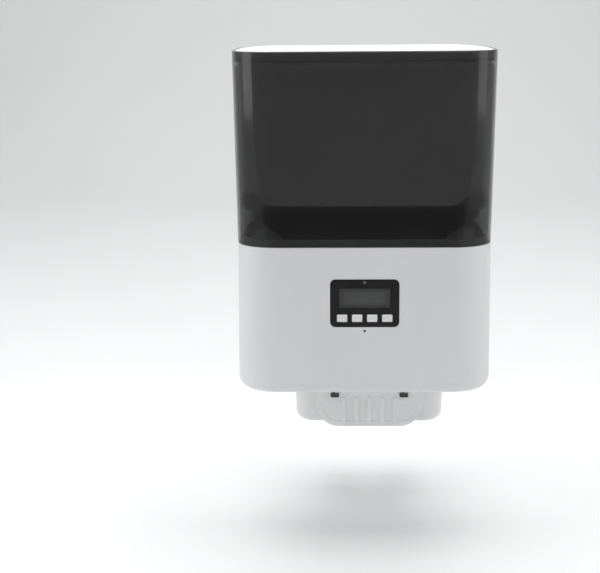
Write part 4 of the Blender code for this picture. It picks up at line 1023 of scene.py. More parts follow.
class Thread:
    """A screw thread: a small round profile swept along a helix."""

    CREST_SHARE = 0.30
    TURN_STEPS = 20
    CREST_STEPS = 6

    def __init__(self) -> None:
        """Builds the tree."""
        tree = GeometryTree("thread", {
            "Radius": "NodeSocketFloat", "Turns": "NodeSocketFloat", "Length": "NodeSocketFloat",
            "Crest": "NodeSocketFloat", "Start": "NodeSocketVector", "Rotation": "NodeSocketVector"})
        helix = tree.node("GeometryNodeCurveSpiral", None, {
            "Resolution": self.TURN_STEPS, "Rotations": tree.input("Turns"),
            "Start Radius": tree.input("Radius"), "End Radius": tree.input("Radius"),
            "Height": tree.input("Length")})
        crest = tree.node("GeometryNodeCurvePrimitiveCircle", None, {
            "Resolution": self.CREST_STEPS, "Radius": tree.input("Crest")})
        swept = tree.node("GeometryNodeCurveToMesh", None, {
            "Curve": helix.outputs[0], "Profile Curve": crest.outputs[0], "Fill Caps": True})
        placed = tree.node("GeometryNodeTransform", None, {
            "Geometry": swept.outputs[0], "Translation": tree.input("Start"),
            "Rotation": tree.input("Rotation")})
        tree.close(placed.outputs[0])
        self.tree = tree

    def make(self, name: str, radius: float, pitch: float, length: float, start: Point,
             rotation: Point) -> bpy.types.Object:
        """A thread that runs along +Z before it is turned.

        Args:
            name: Name of the result.
            radius: Radius of the helix.
            pitch: Rise in each turn.
            length: Length along its axis.
            start: Place of its first end.
            rotation: Turn about that end, in radians.

        Returns:
            One plain object.
        """
        return self.tree.run(name, {"Radius": radius, "Turns": length / pitch, "Length": length,
                                    "Crest": pitch * self.CREST_SHARE, "Start": start,
                                    "Rotation": rotation})


@dataclass
class Workshop:
    """What every sub-assembly shares: the finishes and the repeating tools."""

    finishes: Finishes = field(default_factory=Finishes)
    copies: Copies = field(default_factory=Copies)
    thread: Thread = field(default_factory=Thread)


# ---- casing plan -------------------------------------------------------------------------------------
@dataclass(frozen=True)
class CasingPlan:
    """The rounded-rectangle plan of a casing whose width changes evenly with height."""

    low_z: float
    high_z: float
    low_half: float
    high_half: float
    front: float
    back: float = 0.0
    radius: float = 0.040
    steps: int = 20
    ease: float = 0.004

    def half_width(self, z: float) -> float:
        """Half the width at height z."""
        share = (z - self.low_z) / (self.high_z - self.low_z)
        return self.low_half + (self.high_half - self.low_half) * share

    def ring(self, z: float, inset: float = 0.0) -> Ring:
        """The outline at one height.

        Args:
            z: The height.
            inset: How far the outline is drawn in from the wall.

        Returns:
            The ring.
        """
        half = self.half_width(z) - inset
        outline = rounded_outline((-half, self.front + inset), (half, self.back - inset),
                                  self.radius - inset, self.steps, self.ease)
        return [(x, y, z) for x, y in outline]


@dataclass
class Casing:
    """Levels and plans shared by the base, the hopper and the lid."""

    wall: float = WALL
    hopper_wall: float = 0.0024
    base: Extent = field(init=False)
    hopper: Extent = field(init=False)
    base_plan: CasingPlan = field(init=False)
    hopper_plan: CasingPlan = field(init=False)
    seam: float = field(init=False)
    top: float = field(init=False)
    front: float = field(init=False)

    def __post_init__(self) -> None:
        """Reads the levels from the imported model."""
        self.base = Extent.of("base_housing")
        self.hopper = Extent.of("hopper")
        deck = Extent.of("base_deck")
        self.seam = self.base.high.z
        self.top = self.hopper.high.z
        self.front = self.base.low.y
        seam_half = deck.high.x + self.wall + GAP
        self.base_plan = CasingPlan(self.base.low.z, self.seam, self.base.high.x, seam_half, self.front)
        self.hopper_plan = CasingPlan(self.seam, self.top, seam_half, self.hopper.high.x, self.front)


@dataclass(frozen=True)
class ChuteRun:
    """The chute's straight run, whose floor falls evenly through the rear wall and the bracket."""

    half_width: float = 0.017
    height: float = 0.030
    slope: float = 0.570

    def floor(self, y: float) -> float:
        """Height of the chute's underside at depth y."""
        tip = Extent.of("rear_chute")
        return tip.low.z + self.slope * (tip.high.y - y)


# ---- sub-assemblies ----------------------------------------------------------------------------------
@dataclass
class Hopper:
    """The smoky food hopper with its sloped floor, lid ledge and finger grip."""

    shop: Workshop
    casing: Casing
    side_slope: float = 0.858
    front_slope: float = 1.330
    rear_slope: float = 1.030
    throat_half: float = 0.080
    throat_front: float = 0.031
    throat_back: float = 0.014
    throat_radius: float = 0.010
    neck_rise: float = 0.0050
    ledge_drop: float = 0.0110
    ledge_width: float = 0.0026
    ledge_thickness: float = 0.0020
    grip_width: float = 0.100
    grip_height: float = 0.0105
    grip_depth: float = 0.016
    grip_drop: float = 0.0220
    grip_edge: float = 0.0006
    rim: float = 0.0010
    bend: float = 0.0020
    edge: float = 0.0004

    def throat(self, z: float, grow: float) -> Ring:
        """The rectangular neck below the sloped floor.

        Args:
            z: Height of the ring.
            grow: How far it is grown outwards.

        Returns:
            The ring.
        """
        plan = self.casing.hopper_plan
        half = self.throat_half + grow
        outline = rounded_outline((-half, plan.front + self.throat_front - grow),
                                  (half, -self.throat_back + grow), self.throat_radius + grow, plan.steps,
                                  plan.ease)
        return [(x, y, z) for x, y in outline]

    def floor(self, drop: float) -> Ring:
        """The line where the sloped floor meets the inside of the wall.

        Args:
            drop: How far below the floor's top face the line lies.

        Returns:
            The ring.
        """
        plan, wall = self.casing.hopper_plan, self.casing.hopper_wall
        neck = self.casing.seam + self.neck_rise
        ring = []
        for index, (x, y, _) in enumerate(plan.ring(neck, wall)):
            rise = max(self.side_slope * (abs(x) - self.throat_half),
                       self.front_slope * (plan.front + self.throat_front - y),
                       self.rear_slope * (y + self.throat_back))
            ring.append(plan.ring(neck + rise - drop, wall)[index])
        return ring

    def build(self) -> None:
        """Builds the hopper and its gasket."""
        casing, plan, wall = self.casing, self.casing.hopper_plan, self.casing.hopper_wall
        ledge = casing.top - self.ledge_drop
        neck_top = casing.seam + self.neck_rise
        neck_low = casing.hopper.low.z
        low = casing.seam + GAP
        wide = wall + self.ledge_width
        keys = [
            (plan.ring(low), 0.0006),
            (plan.ring(casing.top), self.rim),
            (plan.ring(casing.top, wall), self.rim * 0.7),
            (plan.ring(ledge, wall), 0.0002),
            (plan.ring(ledge, wide), self.edge),
            (plan.ring(ledge - self.ledge_thickness, wide), self.edge),
            (plan.ring(ledge - self.ledge_thickness - self.ledge_width, wall), self.bend / 2),
            (self.floor(0), self.bend),
            (self.throat(neck_top, 0), self.bend),
            (self.throat(neck_low, 0), self.edge),
            (self.throat(neck_low, wall), self.edge),
            (self.throat(neck_top - wall / 2, wall), self.bend),
            (self.floor(wall), 0.0),
            (plan.ring(low, wall), self.edge),
        ]
        shell = loft("hopper_shell", rounded_stack(keys, 4, looped=True), looped=True)
        z = casing.top - self.grip_drop
        half, tall = self.grip_width / 2, self.grip_height / 2
        corner = self.grip_height / 3
        outside = block("grip_shell", (-half - wall, z - tall - wall), (half + wall, z + tall + wall),
                        corner + wall, Axis.Y, (-self.grip_depth - wall, -wall / 2), self.grip_edge)
        inside = block("grip_hollow", (-half, z - tall), (half, z + tall), corner, Axis.Y,
                       (-self.grip_depth, wall), self.grip_edge)
        fuse(shell, outside)
        cut(shell, inside)
        dress(shell, Body.HOPPER, self.shop.finishes.smoky, ["hopper"])
        gasket = softened("hopper_gasket", 0.0003)
        dress(gasket, Body.HOPPER, self.shop.finishes.silicone, ["hopper_gasket"])


@dataclass
class Lid:
    """The white drop-in lid with its skirt and seal."""

    shop: Workshop
    casing: Casing
    ledge_drop: float = 0.0110
    skirt: float = 0.0020
    thickness: float = 0.0020
    seal: float = 0.0018
    crown: float = 0.0025
    edge: float = 0.0012
    crown_reach: float = 0.046
    crown_start: float = 0.0002
    steps: int = 10
    soft: float = 0.0004
    centre_radius: float = 0.0008
    centre_ease: float = 0.0002

    def build(self) -> None:
        """Builds the lid and its seal."""
        casing, plan = self.casing, self.casing.hopper_plan
        outer = casing.hopper_wall + GAP
        inner = outer + self.skirt
        low = casing.top - self.ledge_drop + self.seal + 2 * GAP
        shoulder = casing.top - GAP
        crown = shoulder + self.crown_start
        rings = rounded_stack([
            (plan.ring(casing.top - self.thickness, inner + 0.001), 0.0),
            (plan.ring(casing.top - self.thickness, inner), 0.0006),
            (plan.ring(low, inner), self.soft),
            (plan.ring(low, outer), self.soft),
            (plan.ring(shoulder, outer), self.edge),
            (plan.ring(crown, outer + 2 * self.edge), 0.0),
        ], 4)
        for step in range(1, self.steps + 1):
            share = step / self.steps
            inset = outer + 2 * self.edge + share * self.crown_reach
            z = crown + self.crown * math.sin(share * math.pi / 2)
            rings.append(plan.ring(z, inset) if inset < plan.radius else self._inner_ring(z, inset))
        dress(loft("lid_cover", rings), Body.LID, self.shop.finishes.lid_white, ["lid"])
        ring_low = casing.top - self.ledge_drop + GAP
        ring_high = ring_low + self.seal
        keys = [(plan.ring(z, inset), self.soft) for z, inset in
                ((ring_low, outer), (ring_high, outer), (ring_high, inner), (ring_low, inner))]
        seal = loft("lid_seal_ring", rounded_stack(keys, 3, looped=True), looped=True)
        dress(seal, Body.LID, self.shop.finishes.silicone, ["lid_seal"])

    def _inner_ring(self, z: float, inset: float) -> Ring:
        """An outline too far in for the casing's corner radius, with a small one of its own.

        Args:
            z: Height of the ring.
            inset: How far it is drawn in from the wall.

        Returns:
            The ring.
        """
        plan = self.casing.hopper_plan
        half = plan.half_width(z) - inset
        outline = rounded_outline((-half, plan.front + inset), (half, plan.back - inset),
                                  self.centre_radius, plan.steps, self.centre_ease)
        return [(x, y, z) for x, y in outline]


@dataclass
class Base:
    """The white base housing with its bottom cover, screws and battery door."""

    shop: Workshop
    casing: Casing
    fillet: float = 0.012
    ledge_inset: float = 0.0220
    ledge_thickness: float = 0.0025
    cover_inset: float = 0.0137
    deck_ledge: float = 0.0035
    deck_drop: float = 0.0062
    deck_thickness: float = 0.0025
    panel_ledge: float = 0.0018
    panel_radius: float = 0.005
    screw_radius: float = 0.0015
    head_radius: float = 0.0028
    slots: int = 5
    slot_pitch: float = 0.005
    slot_width: float = 0.002
    slot_length: float = 0.026
    post_radius: float = 0.0022
    post_reach: float = 0.0087
    post_inset: float = 0.003
    seam_edge: float = 0.0015
    pinhole_radius: float = 0.00125
    light_notch: float = 0.0022
    jack_radius: float = 0.0045
    jack_mouth: float = 0.0065
    bolt_hole: float = 0.0033
    bolt_mouth: float = 0.0060
    door_radius: float = 0.003
    recess_half: float = 0.011
    ridge_pitch: float = 0.0014
    ridges: int = 3
    screws: int = 6

    def build(self) -> None:
        """Builds the housing and everything on its underside."""
        self._housing()
        self._cover()
        self._screws()
        self._door()

    def _fillet(self, radius: float, inset: float, steps: int) -> list[Ring]:
        """Rings up the rounded lower edge, from the underside to the wall.

        Args:
            radius: Radius of the edge.
            inset: How far the wall's face is drawn in.
            steps: Divisions of the arc.

        Returns:
            The rings.
        """
        low = self.casing.base.low.z
        rings = []
        for step in range(steps + 1):
            angle = math.pi / 2 * step / steps
            z = low + self.fillet - radius * math.cos(angle)
            rings.append(self.casing.base_plan.ring(z, inset + radius * (1 - math.sin(angle))))
        return rings

    def _housing(self) -> None:
        """The open shell, with its openings cut."""
        casing, plan, wall = self.casing, self.casing.base_plan, self.casing.wall
        low, seam = casing.base.low.z, casing.seam
        cover_top = Extent.of("base_bottom_cover").high.z
        shelf = seam - self.deck_drop - self.deck_thickness - GAP
        ledge_low = cover_top + GAP
        ledge_high = ledge_low + self.ledge_thickness
        upper = rounded_stack([
            (plan.ring(low + self.fillet * 2), 0.0),
            (plan.ring(seam), self.seam_edge),
            (plan.ring(seam, wall), 0.0004),
            (plan.ring(shelf, wall), 0.0002),
            (plan.ring(shelf, wall + self.deck_ledge), 0.0003),
            (plan.ring(shelf - wall, wall + self.deck_ledge), 0.0004),
            (plan.ring(shelf - wall - self.deck_ledge, wall), 0.0),
        ])
        inner = self._fillet(self.fillet - wall, wall, 10)[2:]
        inner.reverse()
        lower = rounded_stack([
            (plan.ring(ledge_high, self.fillet - wall / 2), 0.0),
            (plan.ring(ledge_high, self.ledge_inset), 0.0004),
            (plan.ring(ledge_low, self.ledge_inset), 0.0003),
            (plan.ring(ledge_low, self.cover_inset), 0.0002),
            (plan.ring(low, self.cover_inset), 0.0),
        ])
        rings = self._fillet(self.fillet, 0, 12) + upper + inner + lower
        shell = loft("base_shell", rings, looped=True)
        posts = Extent.of("control_board")
        inset = self.post_inset
        fuse(shell, *[self._post(x, z) for x in (posts.low.x + inset, posts.high.x - inset)
                      for z in (posts.low.z + inset, posts.high.z - inset)])
        cut(shell, *self._openings())
        dress(shell, Body.BASE, self.shop.finishes.white, ["base_housing"])

    def _post(self, x: float, z: float) -> bpy.types.Object:
        """A post behind the front wall for the control board."""
        front = self.casing.front
        return turned("board_post", Axis.Y, (x, z), [
            (front + self.casing.wall / 2, self.post_radius, 0),
            (front + self.post_reach, self.post_radius, 0)], 20)

    def _openings(self) -> list[bpy.types.Object]:
        """Shapes of the panel's pocket, the pinhole, the spout's window, the inlet and the bolt holes."""
        front, wall = self.casing.front, self.casing.wall
        panel = Extent.of("control_panel")
        microphone = Extent.of("microphone").centre
        light = Extent.of("light_pipe").centre
        inlet = Extent.of("power_inlet")
        low, high = (panel.low.x - GAP, panel.low.z - GAP), (panel.high.x + GAP, panel.high.z + GAP)
        ledge = self.panel_ledge + GAP
        notch, side = self.light_notch, self.casing.base.high.x
        shapes = [
            block("pocket", low, high, self.panel_radius + GAP, Axis.Y, (front - wall, panel.high.y + GAP),
                  0.0001, 10),
            block("opening", (low[0] + ledge, low[1] + ledge), (high[0] - ledge, high[1] - ledge),
                  self.panel_radius - self.panel_ledge, Axis.Y, (front - wall, front + 2 * wall), 0.0001),
            block("light_notch", (light.x - notch, light.z - notch), (light.x + notch, light.z + notch),
                  0.0015, Axis.Y, (front - 2 * wall, front + 3 * wall), 0.0001),
            turned("pinhole", Axis.Y, (0, microphone.z), [
                (front - wall, self.pinhole_radius, 0), (front + 2 * wall, self.pinhole_radius, 0)], 24),
            turned("inlet_hole", Axis.X, (inlet.centre.y, inlet.centre.z), [
                (inlet.high.x - 0.002, self.jack_radius, 0), (side - 0.0010, self.jack_radius, 0),
                (side + 0.002, self.jack_mouth, 0)], 32),
            self._spout_window(),
        ]
        for name in ("clamp_bolt_left", "clamp_bolt_right"):
            bolt = Extent.of(name).centre
            shapes.append(turned(f"{name}_hole", Axis.Y, (bolt.x, bolt.z), [
                (-2 * wall, self.bolt_hole, 0), (-0.0004, self.bolt_hole, 0), (wall, self.bolt_mouth, 0)],
                24))
        return shapes

    def _spout_window(self) -> bpy.types.Object:
        """The opening in the rear wall round the chute."""
        wall = self.casing.wall
        run = ChuteRun()
        half = run.half_width + GAP
        return block("spout_window", (-half, run.floor(0) - GAP), (half, run.floor(-wall) + run.height + GAP),
                     0.0010, Axis.Y, (-2 * wall, wall), 0.0001)

    def _screw_nodes(self) -> list[str]:
        """Names of the cover screws."""
        return [f"cover_screw_{index}" for index in range(1, self.screws + 1)]

    def _screw_places(self) -> list[Vector]:
        """Centres of the cover screws."""
        return [Extent.of(node).centre for node in self._screw_nodes()]

    def _cover(self) -> None:
        """The bottom cover with its screw seats, speaker slots and door opening."""
        box = Extent.of("base_bottom_cover")
        door = Extent.of("battery_door")
        speaker = Extent.of("speaker").centre
        low, high = box.low.z, box.high.z
        plan = self.casing.base_plan
        inset = self.cover_inset + GAP
        keys = [(plan.ring(low, inset + 0.002), 0.0), (plan.ring(low, inset), 0.0004),
                (plan.ring(high, inset), 0.0003), (plan.ring(high, inset + 0.002), 0.0)]
        cover = loft("bottom_cover", rounded_stack(keys))
        shapes = [block("door_opening", (door.low.x - GAP, door.low.y - GAP),
                        (door.high.x + GAP, door.high.y + GAP), self.door_radius, Axis.Z,
                        (low - 0.002, high + 0.002), 0.0001)]
        for place in self._screw_places():
            shapes.append(turned("seat", Axis.Z, (place.x, place.y), [
                (low - 0.001, self.head_radius + 0.0007, 0), (low + 0.0002, self.head_radius + GAP, 0),
                (low + 0.0011, self.head_radius + GAP, 0), (low + 0.0011, self.screw_radius + GAP, 0),
                (high + 0.001, self.screw_radius + GAP, 0)], 32))
        half = self.slot_length / 2
        wide = self.slot_width / 2
        slot = block("slot", (-half, -wide), (half, wide), wide * 0.95, Axis.Z, (low - 0.001, high + 0.001),
                     0.00005)
        first = speaker.y - self.slot_pitch * (self.slots - 1) / 2
        shapes.append(self.shop.copies.make("speaker_slots", slot, self.slots, (speaker.x, first, 0),
                                            (0, self.slot_pitch, 0)))
        cut(cover, *shapes)
        dress(cover, Body.BASE, self.shop.finishes.white, ["base_bottom_cover"])

    def _screws(self) -> None:
        """Pan heads with a cross recess, and threaded shanks."""
        box = Extent.of("cover_screw_1")
        low, high = box.low.z, box.high.z
        parts = []
        for index, place in enumerate(self._screw_places()):
            head = turned(f"screw_{index}", Axis.Z, (place.x, place.y), [
                (low, self.head_radius * 0.55, 0), (low, self.head_radius * 0.8, 0.0003),
                (low + 0.0004, self.head_radius, 0.0002), (low + 0.0006, self.head_radius, 0.0001),
                (low + 0.0006, self.screw_radius * 0.8, 0), (high - 0.0008, self.screw_radius * 0.8, 0),
                (high, self.screw_radius * 0.3, 0)], 28)
            arm = self.head_radius * 0.52
            cross = [block("arm", (place.x - a, place.y - b), (place.x + a, place.y + b), 0.0001, Axis.Z,
                           (low - 0.0005, low + 0.00042), 0.00002, 2) for a, b in
                     ((arm, 0.0003), (0.0003, arm))]
            cut(head, *cross)
            ridge = self.shop.thread.make("ridge", self.screw_radius * 0.8, 0.0007, high - low - 0.0016,
                                          (place.x, place.y, low + 0.0008), (0, 0, 0))
            parts += [head, ridge]
        dress(joined("cover_screws", parts), Body.BASE, self.shop.finishes.steel,
              self._screw_nodes())

    def _door(self) -> None:
        """The battery door with a thumb recess and grip ridges."""
        box = Extent.of("battery_door")
        low, high = box.low.z, box.high.z
        door = block("door", (box.low.x, box.low.y), (box.high.x, box.high.y), self.door_radius - GAP,
                     Axis.Z, (low, high), 0.0004)
        y = box.centre.y + box.size.y * 0.36
        recess = block("thumb_recess", (-self.recess_half, y - 0.003), (self.recess_half, y + 0.003), 0.0028,
                       Axis.Z, (low - 0.002, low + 0.0009), 0.0004)
        cut(door, recess)
        ridge = block("ridge", (-0.0085, -0.0003), (0.0085, 0.0003), 0.00028, Axis.Z, (0, 0.0006), 0.0001)
        first = (0, y - self.ridge_pitch * (self.ridges - 1) / 2, low + 0.0004)
        fuse(door, self.shop.copies.make("ridges", ridge, self.ridges, first, (0, self.ridge_pitch, 0)))
        door.name = "battery_door_panel"
        dress(door, Body.DOOR, self.shop.finishes.white, ["battery_door"])


@dataclass
class Deck:
    """The tray under the hopper, with its raised lip, catches and funnel."""

    shop: Workshop

    def build(self) -> None:
        """Builds the deck."""
        dress(softened("base_deck", 0.0003), Body.BASE, self.shop.finishes.white, ["base_deck"])


@dataclass
class ControlPanel:
    """The black panel on the front with its display, light and four buttons."""

    shop: Workshop
    radius: float = 0.005
    edge: float = 0.0003
    button_radius: float = 0.0010
    border: Flat = (0.0042, 0.0030)
    light_hole: float = 0.0018
    light_radius: float = 0.0015
    flange: Flat = (0.0011, 0.0008)
    flange_thickness: float = 0.001
    stem_radius: float = 0.0015
    stem_tip: float = 0.0008
    through: float = 0.001
    count: int = 4

    def build(self) -> None:
        """Builds the panel, the buttons and the display."""
        finishes = self.shop.finishes
        box = Extent.of("control_panel")
        window = Extent.of("display_window")
        light = Extent.of("light_pipe")
        ends = (box.low.y - self.through, box.high.y + self.through)
        panel = block("panel", (box.low.x, box.low.z), (box.high.x, box.high.z), self.radius, Axis.Y,
                      (box.low.y, box.high.y), self.edge, 12)
        holes = [block("window_hole", (window.low.x - GAP, window.low.z - GAP),
                       (window.high.x + GAP, window.high.z + GAP), 0.0015, Axis.Y,
                       ends, 0.00005)]
        holes.append(turned("light_hole", Axis.Y, (light.centre.x, light.centre.z), [
            (ends[0], self.light_hole, 0), (ends[1], self.light_hole, 0)], 32))
        for index in range(1, self.count + 1):
            cap = self._cap(index)
            holes.append(block(f"button_hole_{index}", (cap[0] - GAP, cap[2] - GAP),
                               (cap[1] + GAP, cap[3] + GAP), self.button_radius + GAP, Axis.Y,
                               ends, 0.00005))
        cut(panel, *holes)
        panel.name = "panel_face"
        dress(panel, Body.BASE, finishes.panel, ["control_panel"])
        pane = block("window_pane", (window.low.x, window.low.z), (window.high.x, window.high.z), 0.0012,
                     Axis.Y, (window.low.y, window.high.y), 0.00015)
        dress(pane, Body.BASE, finishes.window, ["display_window"])
        self._display(window)
        pipe = turned("status_light", Axis.Y, (light.centre.x, light.centre.z), [
            (light.low.y, self.light_radius * 0.4, 0), (light.low.y + 0.0002, self.light_radius, 0.0003),
            (light.high.y, self.light_radius, 0)], 28)
        dress(pipe, Body.BASE, finishes.crystal, ["light_pipe"])
        for index in range(1, self.count + 1):
            self._button(index)

    def _cap(self, index: int) -> tuple[float, float, float, float]:
        """Lowest and highest X and Z of a button's cap, inside its flange."""
        box = Extent.of(f"button_{index}")
        side, rise = self.flange
        return (box.low.x + side, box.high.x - side, box.low.z + rise, box.high.z - rise)

    def _button(self, index: int) -> None:
        """A cap with a bevelled rim and a faintly dished face, a flange and a stem.

        Args:
            index: Number of the button, from the left.
        """
        box = Extent.of(f"button_{index}")
        x0, x1, z0, z1 = self._cap(index)
        front = box.low.y
        flange_front = Extent.of("control_panel").high.y + GAP

        def ring(inset: float, y: float) -> Ring:
            """The cap's outline at one depth."""
            outline = rounded_outline((x0 + inset, z0 + inset), (x1 - inset, z1 - inset),
                                      max(self.button_radius - inset * 0.6, 0.0003), 6)
            return [(u, y, v) for u, v in outline]

        keys = [(ring(0.0026, front + 0.0003), 0.0), (ring(0.0017, front + 0.00025), 0.0004),
                (ring(0.0013, front), 0.0002), (ring(0.0010, front), 0.0002),
                (ring(0, front + 0.0009), 0.0002), (ring(0, flange_front + 0.0006), 0.0)]
        cap = loft(f"cap_{index}", rounded_stack(keys))
        flange = block("flange", (box.low.x, box.low.z), (box.high.x, box.high.z), self.button_radius, Axis.Y,
                       (flange_front, flange_front + self.flange_thickness), 0.0001)
        stem = turned("stem", Axis.Y, (box.centre.x, box.centre.z), [
            (flange_front + 0.0007, self.stem_radius, 0), (box.high.y, self.stem_radius, 0.0002),
            (box.high.y, self.stem_tip, 0)], 24)
        fuse(cap, flange, stem)
        dress(cap, f"button_{index}", self.shop.finishes.button, [f"button_{index}"])

    def _display(self, window: Extent) -> None:
        """The display behind the window: a frame with a recessed liquid-crystal face.

        Args:
            window: Box of the window.
        """
        box = Extent.of("display_module")
        module = block("display_frame", (box.low.x, box.low.z), (box.high.x, box.high.z), 0.001, Axis.Y,
                       (box.low.y, box.high.y), 0.0002)
        side, rise = self.border
        low = (window.low.x + side, window.low.z + rise)
        high = (window.high.x - side, window.high.z - rise)
        cut(module, block("well", low, high, 0.0006, Axis.Y, (box.low.y - 0.001, box.low.y + 0.0010),
                          0.0001))
        dress(module, Body.BASE, self.shop.finishes.bezel, ["display_module"])
        face = block("display_face", (low[0] + 0.0001, low[1] + 0.0001), (high[0] - 0.0001, high[1] - 0.0001),
                     0.0005, Axis.Y, (box.low.y + 0.0005, box.low.y + 0.0009), 0.0001)
        dress(face, Body.BASE, self.shop.finishes.crystal)


@dataclass
class Metering:
    """The drum that portions the food, its rotor, gears and motor."""

    shop: Workshop

    def build(self) -> None:
        """Builds the metering drive."""
        finishes = self.shop.finishes
        rows = (
            ("metering_housing", Body.BASE, Slot.GREY, finishes.grey, 0.0003),
            ("metering_end_cover", Body.BASE, Slot.GREY, finishes.grey, 0.0003),
            ("gear_plate", Body.BASE, Slot.GREY, finishes.grey, 0.0003),
            ("portion_rotor", Body.ROTOR, Slot.SILICONE, finishes.silicone, 0.0004),
            ("rotor_axle", Body.ROTOR, Slot.STEEL, finishes.steel, 0.0),
            ("driven_gear", Body.ROTOR, Slot.WHITE, finishes.white, 0.0001),
            ("idler_gear", Body.IDLER, Slot.WHITE, finishes.white, 0.0001),
            ("idler_pin", Body.BASE, Slot.STEEL, finishes.steel, 0.0002),
            ("motor_pinion", Body.PINION, Slot.STEEL, finishes.steel, 0.0001),
            ("gear_motor", Body.BASE, Slot.STEEL, finishes.steel, 0.0003),
            ("bush_left", Body.BASE, Slot.BRONZE, finishes.bronze, 0.0002),
            ("bush_right", Body.BASE, Slot.BRONZE, finishes.bronze, 0.0002),
        )
        for node, body, slot, finish, edge in rows:
            dress(softened(node, edge), body, finish, [node])


@dataclass
class Chute:
    """The chute from the drum through the rear wall, with its rounded spout."""

    shop: Workshop

    def build(self) -> None:
        """Builds the chute."""
        dress(softened("rear_chute", 0.0005, 3), Body.BASE, self.shop.finishes.chute,
              ["rear_chute"])


@dataclass
class Electrics:
    """The board, microphone, speaker, power inlet, battery box, cells and contacts."""

    shop: Workshop

    def build(self) -> None:
        """Builds the electric parts."""
        finishes = self.shop.finishes
        rows = (
            ("control_board", Slot.BOARD, finishes.board, 0.0),
            ("microphone", Slot.BLACK, finishes.black, 0.0003),
            ("speaker", Slot.BLACK, finishes.black, 0.0003),
            ("power_inlet", Slot.BLACK, finishes.black, 0.0003),
            ("battery_box", Slot.GREY, finishes.grey, 0.0003),
            ("battery_1", Slot.JACKET, finishes.jacket, 0.0003),
            ("battery_2", Slot.JACKET, finishes.jacket, 0.0003),
            ("battery_3", Slot.JACKET, finishes.jacket, 0.0003),
            ("contact_strip_front", Slot.STEEL, finishes.steel, 0.0001),
            ("contact_strip_rear", Slot.STEEL, finishes.steel, 0.0001),
        )
        for node, slot, finish, edge in rows:
            dress(softened(node, edge), Body.BASE, finish, [node])


